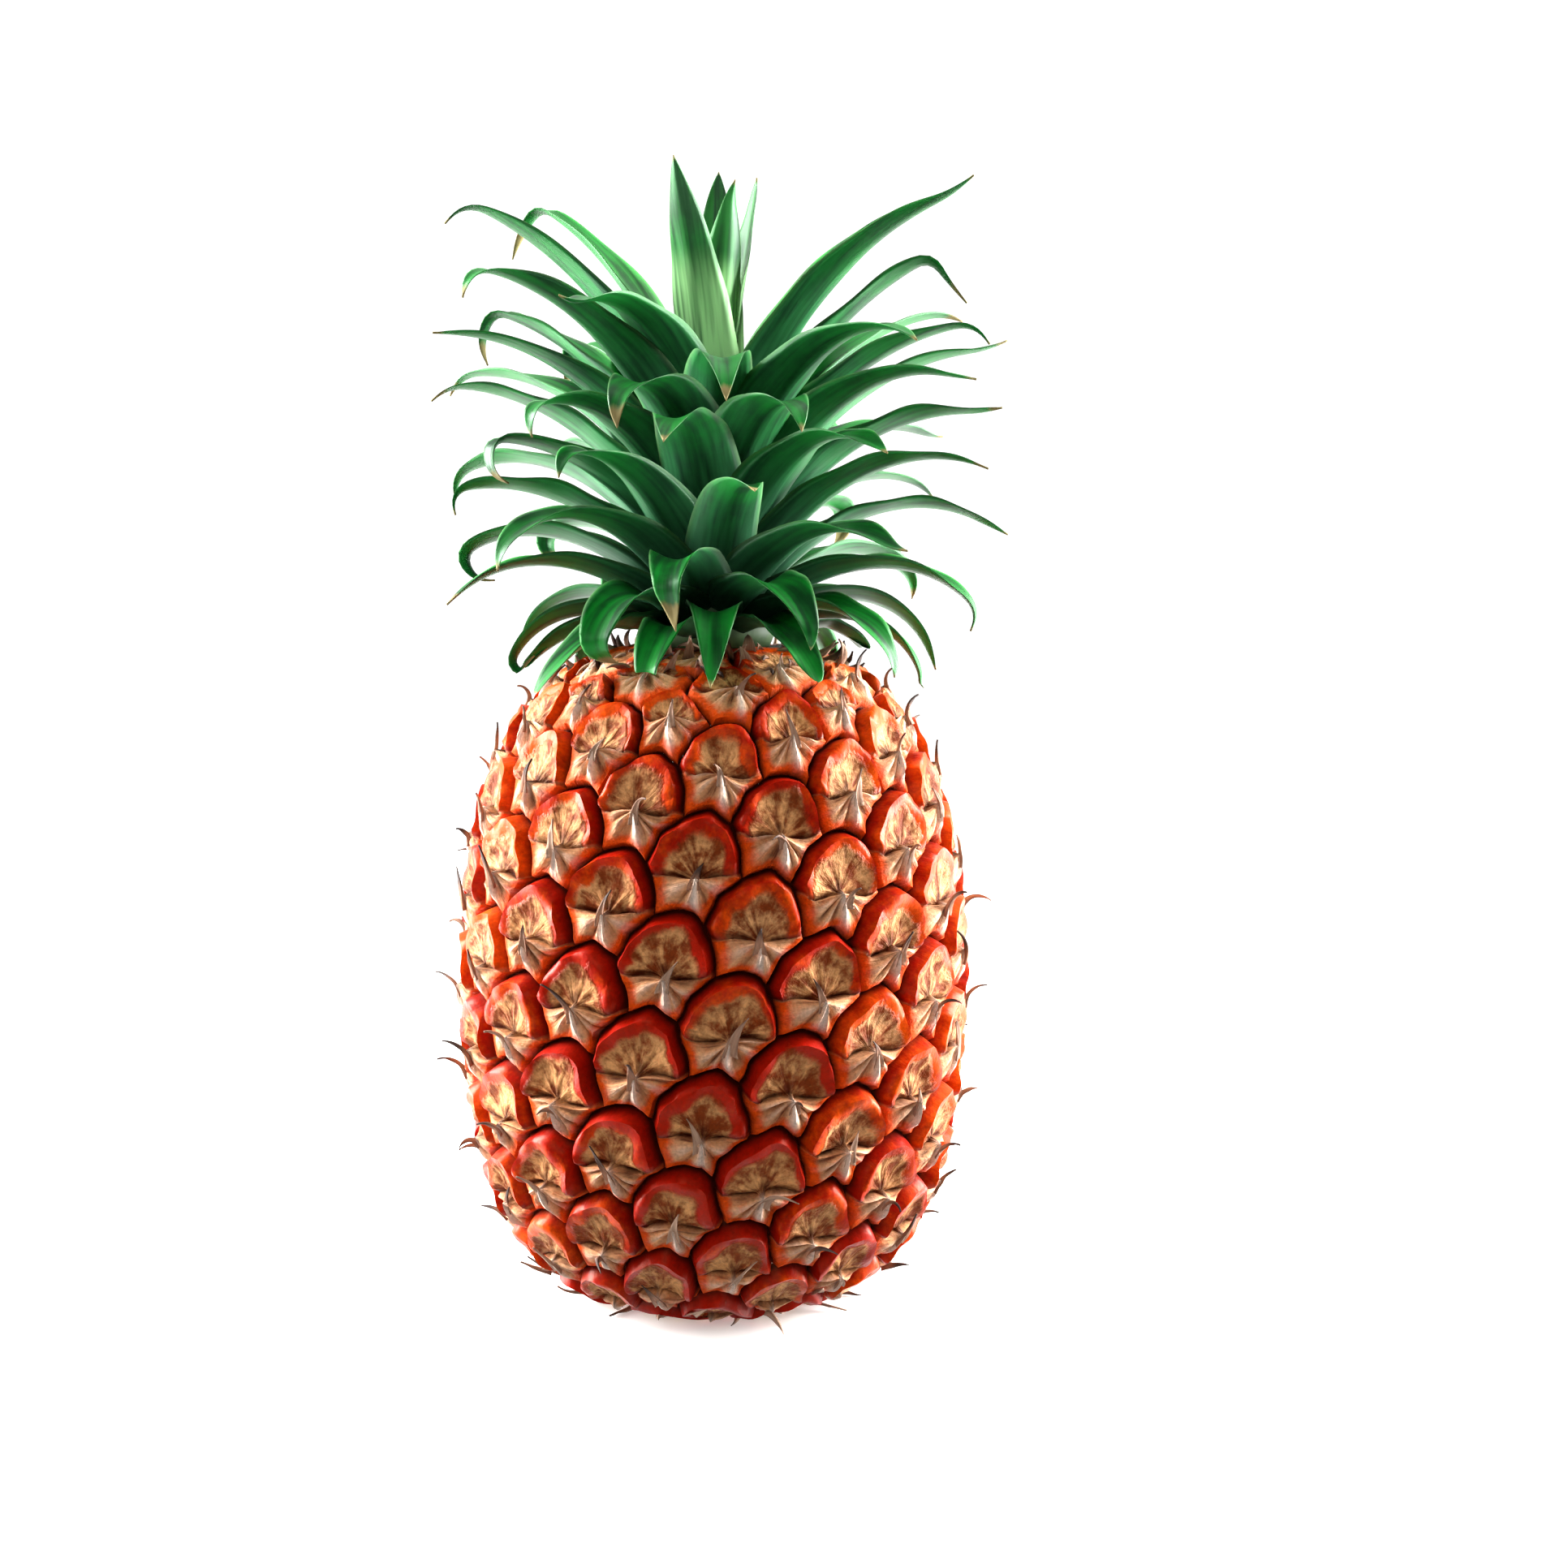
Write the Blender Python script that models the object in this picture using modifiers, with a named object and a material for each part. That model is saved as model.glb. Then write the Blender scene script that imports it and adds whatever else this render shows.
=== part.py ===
# Pineapple: a whole fruit standing on its trimmed base, with its leafy crown.
# Metres, +Z up, origin at the middle of the base. The front of the fruit faces -Y.
# Azimuths are in degrees from the front, turning towards +X.

import math
import random

import bmesh
import bpy
import numpy as np

# Fruit body: two Bezier arcs, base to belly and belly to top, given as (radius, height)
BELLY_RADIUS = 0.063
BELLY_HEIGHT = 0.078
BASE_RADIUS = 0.0225
TOP_RADIUS = 0.018
TOP_HEIGHT = 0.162
LOWER_ARC = ((BASE_RADIUS, 0.0), (0.052, 0.0), (BELLY_RADIUS, 0.030), (BELLY_RADIUS, BELLY_HEIGHT))
UPPER_ARC = ((BELLY_RADIUS, BELLY_HEIGHT), (BELLY_RADIUS, 0.114), (0.056, 0.1595), (TOP_RADIUS, TOP_HEIGHT))

# Spiral of eyes, which are the fruitlets: each one sits a golden angle round from the last
DIVERGENCE = 137.43
EYE_RISE = 0.00108
MIDDLE_EYE_HEIGHT = 0.1148
MIDDLE_EYE_AZIMUTH = -4.2
LOWEST_EYE_RADIUS = 0.0270
HIGHEST_EYE_RADIUS = 0.0245

# Relief of one eye, measured from the fruit body's surface
GROOVE_DEPTH = 0.0034
SHOULDER_SHARE = 0.86
BRACT_FALL = 0.0016
SPINE_ROOT_SHARE = 0.15
SPINE_ROOT_LIFT = 0.0006
SPINE_LENGTH = 0.0048
SPINE_LEAN = 0.0030
SPINED_SLOPES = (-0.60, 0.85)

# Trimmed base
FOOT_RADIUS = 0.021
RECESS_RADIUS = 0.0150
RECESS_TOP_RADIUS = 0.0138
RECESS_DEPTH = 0.0035
STALK_RADIUS = 0.0120
STALK_SIDES = 24
CLEARANCE = 0.0003

# Crown
LEAF_COUNT = 76
LEAF_SEED = 17
FIRST_LEAF_AZIMUTH = 340.0
LEAF_DIVERGENCE = 137.5
STATIONS = 7
DROOP_POWER = 1.6
BLADE_THICKNESS = 0.0016
TIP_THICKNESS = 0.0007
FLATTENED_LEVELS = (0.45, 0.92)
FLATTENED_RISE = 22.0
FLATTENED_DROOP = 85.0
FLATTENED_SHORTER = 0.30
HEART_LEVEL = 0.945
HEART_TURN = -42.5
GAP_AT_NECK = 0.0022
GAP_OVER_SPINES = 0.0078
NECK_RADIUS = 0.018
SPINES_RADIUS = 0.030
CORE_PROFILE = ((0.0140, CLEARANCE), (0.0155, 0.004), (0.0145, 0.018), (0.0100, 0.045), (0.0050, 0.070))
CORE_TOP = 0.072
CORE_SIDES = 14

# How the leaves change from the lowest, at 0, to the heart of the crown, at 1
LEVELS = (0.00, 0.18, 0.36, 0.58, 0.78, 0.935, 0.955, 1.00)
ROOT_HEIGHTS = (0.0025, 0.005, 0.0125, 0.024, 0.039, 0.051, 0.058, 0.062)
ROOT_RADII = (0.011, 0.012, 0.011, 0.009, 0.007, 0.0045, 0.003, 0.002)
LENGTHS = (0.042, 0.053, 0.067, 0.080, 0.089, 0.086, 0.056, 0.052)
WIDTHS = (0.013, 0.0165, 0.0175, 0.020, 0.020, 0.0185, 0.0160, 0.0150)
RISES = (12.0, 28.0, 45.0, 54.0, 59.0, 70.0, 80.0, 84.0)
DROOPS = (-120.0, -72.0, -36.0, -14.0, 12.0, 26.0, 80.0, 86.0)


def bezier(arc, steps):
    """Points of a cubic Bezier arc, from its four (radius, height) handles."""
    t = np.linspace(0.0, 1.0, steps)[:, None]
    a, b, c, d = (np.array(p) for p in arc)
    return a * (1 - t) ** 3 + 3 * b * t * (1 - t) ** 2 + 3 * c * t * t * (1 - t) + d * t**3


class Profile:
    """The fruit body's outline, read by the distance along it from the edge of the base."""

    def __init__(self):
        lower = bezier(LOWER_ARC, 200)
        upper = bezier(UPPER_ARC, 200)
        self.points = np.vstack([lower, upper[1:]])
        steps = np.diff(self.points, axis=0)
        self.along = np.concatenate([[0.0], np.cumsum(np.hypot(*steps.T))])
        slope = np.gradient(self.points, self.along, axis=0)
        slope /= np.hypot(*slope.T)[:, None]
        self.normals = np.column_stack([slope[:, 1], -slope[:, 0]])

    def at(self, s):
        """Radius and height at distance s."""
        return np.interp(s, self.along, self.points[:, 0]), np.interp(s, self.along, self.points[:, 1])

    def normal(self, s):
        """Outward normal at distance s, as its radial and upward parts."""
        n = np.array([np.interp(s, self.along, self.normals[:, i]) for i in (0, 1)])
        return n / np.hypot(*n)

    def distance_at_height(self, height):
        return float(np.interp(height, self.points[:, 1], self.along))

    def range_with_radius(self, lowest, highest):
        """Distances where the body first reaches radius lowest, and last has radius highest."""
        wide = np.nonzero(self.points[:, 0] >= lowest)[0]
        narrow = np.nonzero(self.points[:, 0] >= highest)[0]
        return self.along[wide[0]], self.along[narrow[-1]]

    def pushed_clear(self, radius, height, gap):
        """How far a point (radius, height) has to move to stay gap outside the body."""
        offset = np.array([radius, height]) - self.points
        nearest = int(np.argmin(np.hypot(*offset.T)))
        depth = gap - float(offset[nearest] @ self.normals[nearest])
        if depth <= 0.0:
            return np.zeros(2)
        return depth * self.normals[nearest]


def around(azimuth, radius, height):
    """The point at this azimuth in degrees, radius and height."""
    a = math.radians(azimuth)
    return np.array([radius * math.sin(a), -radius * math.cos(a), height])


def skin_point(profile, azimuth, s, lift):
    """A point lift outside the fruit body, at an azimuth and a distance along the profile."""
    radius, height = profile.at(s)
    outward, upward = profile.normal(s)
    return around(azimuth, radius + lift * outward, height + lift * upward)


def eye_places(profile):
    """Azimuth and distance of each eye, counted up and down the spiral from the middle one."""
    lowest, highest = profile.range_with_radius(LOWEST_EYE_RADIUS, HIGHEST_EYE_RADIUS)
    middle = profile.distance_at_height(MIDDLE_EYE_HEIGHT)
    first = math.ceil((lowest - middle) / EYE_RISE)
    last = math.floor((highest - middle) / EYE_RISE)
    return [
        (MIDDLE_EYE_AZIMUTH + DIVERGENCE * k, middle + EYE_RISE * k)
        for k in range(first, last + 1)
    ]


def neighbours(profile, places):
    """Triangles between neighbouring eyes, and between the outermost eyes and each pole.
    The skin is mapped to a ball without changing its angles, where the convex hull joins nearest eyes."""
    radii = profile.points[:, 0]
    steps = np.diff(profile.along) * 2 / (radii[1:] + radii[:-1])
    stretched = np.concatenate([[0.0], np.cumsum(steps)])
    stretched -= stretched[-1] / 2
    bm = bmesh.new()
    for azimuth, s in places:
        latitude = 2 * math.atan(math.exp(np.interp(s, profile.along, stretched))) - math.pi / 2
        bm.verts.new(around(azimuth, math.cos(latitude), math.sin(latitude)))
    for pole in (-1.0, 1.0):
        bm.verts.new((0.0, 0.0, pole))
    bm.verts.index_update()
    bmesh.ops.convex_hull(bm, input=bm.verts)
    triangles = [tuple(v.index for v in face.verts) for face in bm.faces]
    bm.free()
    return triangles


def turned_back(azimuth, near):
    """The same azimuth, taken within half a turn of another."""
    return near + (azimuth - near + 180.0) % 360.0 - 180.0


def corner_point(profile, places, triangle):
    """Where three eyes meet: the middle of their triangle, at the bottom of the groove.
    Beside a pole it is on the rim of the flat base or top."""
    eyes = [places[i] for i in triangle if i < len(places)]
    azimuth = np.mean([turned_back(a, eyes[0][0]) for a, _ in eyes])
    if len(eyes) < 3:
        at_base = eyes[0][1] < profile.along[-1] / 2
        return around(azimuth, FOOT_RADIUS, 0.0) if at_base else around(azimuth, TOP_RADIUS, TOP_HEIGHT)
    return skin_point(profile, azimuth, np.mean([s for _, s in eyes]), -GROOVE_DEPTH)


def eye_frame(profile, azimuth, s):
    """Middle of an eye on the body's surface, with its rightward, upward and outward directions."""
    middle = skin_point(profile, azimuth, s, 0.0)
    outward = skin_point(profile, azimuth, s, 1.0) - middle
    a = math.radians(azimuth)
    right = np.array([math.cos(a), math.sin(a), 0.0])
    return middle, right, np.cross(outward, right), outward


def raised(bm, face, moved):
    """Extrudes one face and moves each of its corners by a function of where it was."""
    face = bmesh.ops.extrude_discrete_faces(bm, faces=[face])["faces"][0]
    for vert in face.verts:
        vert.co = moved(np.array(vert.co))
    return face


def raise_eye(bm, face, frame, profile):
    """Raises one eye out of its groove: a domed upper half, a bract that falls away below,
    and the bract's spine, which leans up from the middle. Nothing goes below the foot."""
    middle, right, up, outward = frame
    half_height = max(abs((np.array(v.co) - middle) @ up) for v in face.verts)

    def to_share(share, lift, fall):
        def moved(point):
            offset = point - middle
            in_plane = offset - (offset @ outward) * outward
            below = max(0.0, -(offset @ up) / half_height)
            place = middle + share * in_plane
            radius, height = math.hypot(place[0], place[1]), place[2]
            off_skin = profile.pushed_clear(radius, height, 0.0)
            inward = np.hypot(*off_skin)
            return place + (lift - fall * below + inward) * outward
        return moved

    def kept_up(point):
        return np.array([point[0], point[1], max(point[2], 0.0)])

    shoulder = to_share(SHOULDER_SHARE, 0.0, BRACT_FALL)
    face = raised(bm, face, lambda p: kept_up(shoulder(p)))
    if not SPINED_SLOPES[0] < outward[2] < SPINED_SLOPES[1]:
        return
    root = to_share(SPINE_ROOT_SHARE / SHOULDER_SHARE, SPINE_ROOT_LIFT, 0.0)
    face = raised(bm, face, root)
    tip = bmesh.ops.poke(bm, faces=[face])["verts"][0]
    tip.co = middle + SPINE_LENGTH * outward + SPINE_LEAN * up


def fruit_mesh(profile):
    """The whole fruit: one six-sided eye round each point of the spiral, sharing groove corners."""
    places = eye_places(profile)
    triangles = neighbours(profile, places)
    bm = bmesh.new()
    corners = [bm.verts.new(corner_point(profile, places, t)) for t in triangles]
    cells = {}
    for corner, triangle in zip(corners, triangles):
        for i in triangle:
            cells.setdefault(i, []).append(corner)
    eyes = []
    for i, around_eye in sorted(cells.items()):
        if i < len(places):
            middle, right, up, _ = eye_frame(profile, *places[i])
        else:
            middle, right = np.zeros(3), np.array([1.0, 0.0, 0.0])
            up = np.array([0.0, -1.0 if i == len(places) else 1.0, 0.0])
        offsets = {corner: np.array(corner.co) - middle for corner in around_eye}
        around_eye.sort(key=lambda corner: math.atan2(offsets[corner] @ up, offsets[corner] @ right))
        eyes.append(bm.faces.new(around_eye))
    base = eyes[len(places)]
    for face, place in zip(eyes[: len(places)], places):
        raise_eye(bm, face, eye_frame(profile, *place), profile)
    base = raised(bm, base, lambda p: p * (RECESS_RADIUS / FOOT_RADIUS))
    draft = RECESS_TOP_RADIUS / RECESS_RADIUS
    raised(bm, base, lambda p: np.array([p[0] * draft, p[1] * draft, RECESS_DEPTH]))
    bmesh.ops.triangulate(bm, faces=bm.faces)
    mesh = bpy.data.meshes.new("fruit")
    bm.to_mesh(mesh)
    bm.free()
    return mesh


def leaf_rules():
    """Each leaf's measures, from the lowest to the heart, with a little seeded variety.
    The crown is flattened: at the front and back its upper leaves are shorter and arch over lower, which
    leaves the upright heart, turned a little to the left, in full view."""
    dice = random.Random(LEAF_SEED)
    leaves = []
    for i in range(LEAF_COUNT):
        level = i / (LEAF_COUNT - 1)
        loose = min(1.0, 1.6 * (1.0 - level))
        azimuth = FIRST_LEAF_AZIMUTH + LEAF_DIVERGENCE * i + dice.uniform(-6, 6) * loose
        flattened = 0.0
        if level < HEART_LEVEL:
            facing = abs(math.cos(math.radians(azimuth)))
            flattened = np.interp(level, FLATTENED_LEVELS, (0.0, 1.0)) * facing**3
        else:
            azimuth += HEART_TURN

        def read(values):
            return float(np.interp(level, LEVELS, values))

        leaves.append({
            "azimuth": azimuth,
            "root_height": TOP_HEIGHT + read(ROOT_HEIGHTS),
            "root_radius": read(ROOT_RADII),
            "length": read(LENGTHS) * dice.uniform(0.90, 1.10) * (1.0 - FLATTENED_SHORTER * flattened),
            "width": read(WIDTHS) * dice.uniform(0.92, 1.08),
            "rise": read(RISES) + dice.uniform(-4, 4) * loose - FLATTENED_RISE * flattened,
            "droop": read(DROOPS) + dice.uniform(-14, 14) * loose - FLATTENED_DROOP * flattened,
            "sway": dice.uniform(-0.07, 0.07) * loose,
            "twist": dice.uniform(-22, 22) * loose,
        })
    return leaves


def leaf_stations(leaf, shares, profile):
    """Stations along a leaf. Its slope turns from rise to droop, faster towards the tip, and it sways
    sideways. Returns the middle, the direction across and the upper face's normal at each share."""
    fine = np.linspace(0.0, 1.0, 121)
    slope = np.radians(leaf["rise"] + (leaf["droop"] - leaf["rise"]) * fine**DROOP_POWER)
    step = leaf["length"] / (len(fine) - 1)
    run = np.concatenate([[0.0], np.cumsum(np.cos(slope[:-1]) * step)])
    climb = np.concatenate([[0.0], np.cumsum(np.sin(slope[:-1]) * step)])
    a = math.radians(leaf["azimuth"])
    outward = np.array([math.sin(a), -math.cos(a), 0.0])
    sideways = np.array([math.cos(a), math.sin(a), 0.0])
    stations = []
    for share in shares:
        radius = leaf["root_radius"] + np.interp(share, fine, run)
        height = leaf["root_height"] + np.interp(share, fine, climb)
        gap = np.interp(radius, (NECK_RADIUS, SPINES_RADIUS), (GAP_AT_NECK, GAP_OVER_SPINES))
        push = profile.pushed_clear(radius, height, gap)
        angle = np.interp(share, fine, slope)
        face = math.cos(angle) * np.array([0, 0, 1.0]) - math.sin(angle) * outward
        roll = math.radians(leaf["twist"]) * share**2
        middle = outward * (radius + push[0]) + sideways * (leaf["sway"] * share**2 * leaf["length"])
        middle[2] = height + push[1]
        across = math.cos(roll) * sideways + math.sin(roll) * face
        face = math.cos(roll) * face - math.sin(roll) * sideways
        stations.append((middle, across, face))
    return stations


def leaf_half_width(leaf, share):
    """Half the blade's width: almost full to past the middle, then narrowing to a point."""
    return 0.5 * leaf["width"] * (1.0 - share) ** 0.75 * (1.0 + 0.9 * share)


def channel_share(share):
    """How far the blade's edges stand up, as a share of its half width: a gutter, flatter outwards."""
    return 0.62 - 0.34 * share


def leaf_object(leaf, name, profile, collection):
    """One blade: a thin diamond section with raised edges, extruded station by station to its tip."""
    shares = np.linspace(0.0, 1.0, STATIONS)
    stations = leaf_stations(leaf, shares, profile)
    bm = bmesh.new()
    bmesh.ops.create_circle(bm, segments=4, radius=1.0, cap_ends=True)
    face = bm.faces[:][0]
    for number, (share, (middle, across, up)) in enumerate(zip(shares[:-1], stations[:-1])):
        half = leaf_half_width(leaf, share)
        lift = half * channel_share(share)
        thick = BLADE_THICKNESS + (TIP_THICKNESS - BLADE_THICKNESS) * share
        section = (
            middle + half * across + lift * up,
            middle + 0.5 * thick * up,
            middle - half * across + lift * up,
            middle - 0.5 * thick * up,
        )
        if number:
            face = bmesh.ops.extrude_discrete_faces(bm, faces=[face])["faces"][0]
        for vert, point in zip(face.verts, section):
            vert.co = point
    tip = bmesh.ops.poke(bm, faces=[face])["verts"][0]
    tip.co = stations[-1][0]
    bmesh.ops.holes_fill(bm, edges=[edge for edge in bm.edges if edge.is_boundary])
    bmesh.ops.recalc_face_normals(bm, faces=bm.faces)
    mesh = bpy.data.meshes.new(name)
    bm.to_mesh(mesh)
    bm.free()
    leaf_piece = bpy.data.objects.new(name, mesh)
    collection.objects.link(leaf_piece)
    return leaf_piece


def turned_core(collection):
    """The crown's stem, which the leaves grow from: a profile turned round the axis."""
    rings = [(0.0, CORE_PROFILE[0][1])] + list(CORE_PROFILE) + [(0.0, CORE_TOP)]
    mesh = bpy.data.meshes.new("crown")
    mesh.from_pydata(
        [(r, 0.0, TOP_HEIGHT + z) for r, z in reversed(rings)],
        [(i, i + 1) for i in range(len(rings) - 1)],
        [],
    )
    core = bpy.data.objects.new("crown", mesh)
    collection.objects.link(core)
    screw = core.modifiers.new("turned", "SCREW")
    screw.steps = screw.render_steps = CORE_SIDES
    screw.use_merge_vertices = True
    screw.merge_threshold = 0.00005
    return core


def applied(piece):
    """Makes a piece's evaluated mesh its own, with no modifiers left."""
    bpy.context.view_layer.update()
    evaluated = piece.evaluated_get(bpy.context.evaluated_depsgraph_get())
    mesh = bpy.data.meshes.new_from_object(evaluated)
    piece.modifiers.clear()
    piece.data = mesh


def shells(faces):
    """The sets of faces that hang together by their edges."""
    left = set(faces)
    while left:
        waiting = [left.pop()]
        shell = set(waiting)
        while waiting:
            near = {other for edge in waiting.pop().edges for other in edge.link_faces} & left
            left -= near
            shell |= near
            waiting.extend(near)
        yield shell


def fill_pockets(piece):
    """Fills the pockets that overlapping leaves close off, whose shells face inwards."""
    bm = bmesh.new()
    bm.from_mesh(piece.data)
    pockets = []
    for shell in list(shells(bm.faces)):
        if sum(face.calc_center_median().dot(face.normal) * face.calc_area() for face in shell) < 0:
            pockets.extend(shell)
    bmesh.ops.delete(bm, geom=pockets, context="FACES")
    bm.to_mesh(piece.data)
    bm.free()


def crown_object(profile, collection, leaf_collection):
    """The crown: every leaf joined to the core in one Boolean union."""
    crown = turned_core(collection)
    applied(crown)
    for i, leaf in enumerate(leaf_rules()):
        leaf_object(leaf, f"leaf_{i:02d}", profile, leaf_collection)
    union = crown.modifiers.new("leaves joined", "BOOLEAN")
    union.operation = "UNION"
    union.operand_type = "COLLECTION"
    union.collection = leaf_collection
    union.solver = "MANIFOLD"
    applied(crown)
    fill_pockets(crown)
    for leaf_piece in list(leaf_collection.objects):
        bpy.data.objects.remove(leaf_piece)
    return crown


def stalk_object(collection):
    """The cut end of the stalk, a woody disc in the hollow of the base, flush with the foot."""
    length = RECESS_DEPTH - CLEARANCE
    bm = bmesh.new()
    bmesh.ops.create_cone(
        bm, cap_ends=True, segments=STALK_SIDES, radius1=STALK_RADIUS, radius2=STALK_RADIUS, depth=length
    )
    mesh = bpy.data.meshes.new("cut_stalk")
    bm.to_mesh(mesh)
    bm.free()
    stalk = bpy.data.objects.new("cut_stalk", mesh)
    stalk.location.z = length / 2
    collection.objects.link(stalk)
    return stalk


def linear(hex_colour):
    """An sRGB hex colour as linear values."""
    parts = [int(hex_colour[i:i + 2], 16) / 255 for i in (1, 3, 5)]
    return [c / 12.92 if c <= 0.04045 else ((c + 0.055) / 1.055) ** 2.4 for c in parts]


def finish(piece, name, hex_colour, roughness):
    """Gives a piece its material."""
    material = bpy.data.materials.new(name)
    material.use_nodes = True
    shader = material.node_tree.nodes["Principled BSDF"]
    shader.inputs["Base Color"].default_value = (*linear(hex_colour), 1.0)
    shader.inputs["Roughness"].default_value = roughness
    shader.inputs["Metallic"].default_value = 0.0
    piece.data.materials.clear()
    piece.data.materials.append(material)


def main():
    for old in list(bpy.data.objects):
        bpy.data.objects.remove(old)
    collection = bpy.data.collections.new("pineapple")
    leaf_collection = bpy.data.collections.new("leaves")
    for made in (collection, leaf_collection):
        bpy.context.scene.collection.children.link(made)
    profile = Profile()
    fruit = bpy.data.objects.new("fruit", fruit_mesh(profile))
    collection.objects.link(fruit)
    finish(fruit, "rind", "#C4622A", 0.5)
    finish(crown_object(profile, collection, leaf_collection), "crown leaf", "#1F6B3A", 0.45)
    finish(stalk_object(collection), "cut stalk", "#C9A46A", 0.8)


main()
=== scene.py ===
# A whole pineapple standing on its trimmed base, with its crown of leaves
# Metres, +Z up, the front faces -Y. Azimuths are degrees from the front, turning towards +X
import math
import random
from functools import partial

import bmesh
import bpy
import numpy as np
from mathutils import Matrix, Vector


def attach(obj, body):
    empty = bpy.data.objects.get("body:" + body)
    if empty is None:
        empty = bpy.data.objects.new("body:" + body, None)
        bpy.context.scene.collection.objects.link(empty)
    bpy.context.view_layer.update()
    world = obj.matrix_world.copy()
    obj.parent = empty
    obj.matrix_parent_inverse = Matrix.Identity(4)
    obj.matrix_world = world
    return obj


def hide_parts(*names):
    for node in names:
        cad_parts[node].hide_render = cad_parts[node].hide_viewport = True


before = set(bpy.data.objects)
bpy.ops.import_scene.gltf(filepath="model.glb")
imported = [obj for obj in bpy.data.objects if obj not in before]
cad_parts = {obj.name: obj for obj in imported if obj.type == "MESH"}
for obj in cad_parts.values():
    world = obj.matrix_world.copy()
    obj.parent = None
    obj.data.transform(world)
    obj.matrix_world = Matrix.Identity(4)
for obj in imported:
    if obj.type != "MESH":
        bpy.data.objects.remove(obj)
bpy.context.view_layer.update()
print("frame loaded:", sorted(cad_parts))

# The fruit's body, as in the solids: two Bezier arcs of (radius, height), and the spiral of its eyes
bodySettings = {
    "footRadius": 0.021,
    "lowerArc": ((0.0225, 0.0), (0.052, 0.0), (0.063, 0.030), (0.063, 0.078)),
    "upperArc": ((0.063, 0.078), (0.063, 0.114), (0.056, 0.1595), (0.018, 0.162)),
    "topHeight": 0.162,
    "divergence": 137.43,
    "eyeRise": 0.00108,
    "middleEyeHeight": 0.1148,
    "middleEyeAzimuth": -4.2,
    "lowestEyeRadius": 0.0270,
    "highestEyeRadius": 0.0245,
}


def smooth(x):
    # The S-curve 3x^2 - 2x^3, flat outside 0 to 1
    x = np.clip(x, 0.0, 1.0)
    return x * x * (3.0 - 2.0 * x)


def between(x, low, high):
    # 0 below low, 1 above high and an S-curve from one to the other
    return smooth((x - low) / (high - low))


def bezier(arc, steps):
    # a(1-t)^3 + 3bt(1-t)^2 + 3ct^2(1-t) + dt^3 for t from 0 to 1
    t = np.linspace(0.0, 1.0, steps)[:, None]
    a, b, c, d = (np.array(point) for point in arc)
    return a * (1 - t) ** 3 + 3 * b * t * (1 - t) ** 2 + 3 * c * t * t * (1 - t) + d * t**3


def bodyProfile():
    # The outline as points, the distance along it from the base's edge, and its outward normals
    lower, upper = (bezier(bodySettings[name], 200) for name in ("lowerArc", "upperArc"))
    points = np.vstack([lower, upper[1:]])
    along = np.concatenate([[0.0], np.cumsum(np.hypot(*np.diff(points, axis=0).T))])
    slope = np.gradient(points, along, axis=0)
    slope /= np.hypot(*slope.T)[:, None]
    normals = np.column_stack([slope[:, 1], -slope[:, 0]])
    footStep = points[0, 0] - bodySettings["footRadius"]
    points = np.vstack([[bodySettings["footRadius"], 0.0], points])
    along = np.concatenate([[-footStep], along])
    return points, along, np.vstack([normals[:1], normals])


bodyPoints, bodyAlong, bodyNormals = bodyProfile()


def radiusAt(s):
    # The body's radius at distance s along its outline
    return np.interp(s, bodyAlong, bodyPoints[:, 0])


def turned(radius, azimuth, height):
    # The point (radius, height) turned to the azimuth: radius sin a, -radius cos a, height
    a = np.radians(azimuth)
    return np.stack([radius * np.sin(a), -radius * np.cos(a), height + 0.0 * a], axis=-1)


def outwardAt(azimuth, s):
    # The body's outward normal: its radial part turned to the azimuth, and its upward part
    radial, upward = (np.interp(s, bodyAlong, part) for part in bodyNormals.T)
    normal = turned(radial, azimuth, upward)
    return normal / np.linalg.norm(normal, axis=-1, keepdims=True)


def shortWay(degrees):
    # The same turn between -180 and 180
    return (degrees + 180.0) % 360.0 - 180.0


def sidewaysAt(azimuth):
    # The horizontal direction along the skin, towards a larger azimuth
    a = np.radians(azimuth)
    return np.stack([np.cos(a), np.sin(a), np.zeros_like(a)], axis=-1)


def skinPoint(azimuth, s, lift):
    # The outline's point at s, turned to the azimuth and moved lift along the normal
    onBody = turned(radiusAt(s), azimuth, np.interp(s, bodyAlong, bodyPoints[:, 1]))
    return onBody + np.asarray(lift)[..., None] * outwardAt(azimuth, s)


def eyeSpiral():
    # Eye k sits k golden angles round and k rises up the outline from the middle eye
    c = bodySettings
    wide = np.nonzero(bodyPoints[:, 0] >= c["lowestEyeRadius"])[0]
    narrow = np.nonzero(bodyPoints[:, 0] >= c["highestEyeRadius"])[0]
    middle = np.interp(c["middleEyeHeight"], bodyPoints[:, 1], bodyAlong)
    first = math.ceil((bodyAlong[wide[0]] - middle) / c["eyeRise"])
    last = math.floor((bodyAlong[narrow[-1]] - middle) / c["eyeRise"])
    k = np.arange(first, last + 1)
    return c["middleEyeAzimuth"] + c["divergence"] * k, middle + c["eyeRise"] * k


eyeAzimuths, eyeDistances = eyeSpiral()
# The radius of a disc as large as each eye
eyeRadii = np.sqrt(2.0 * radiusAt(eyeDistances) * bodySettings["eyeRise"])
bellyEyeRadius = eyeRadii.max()


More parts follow.
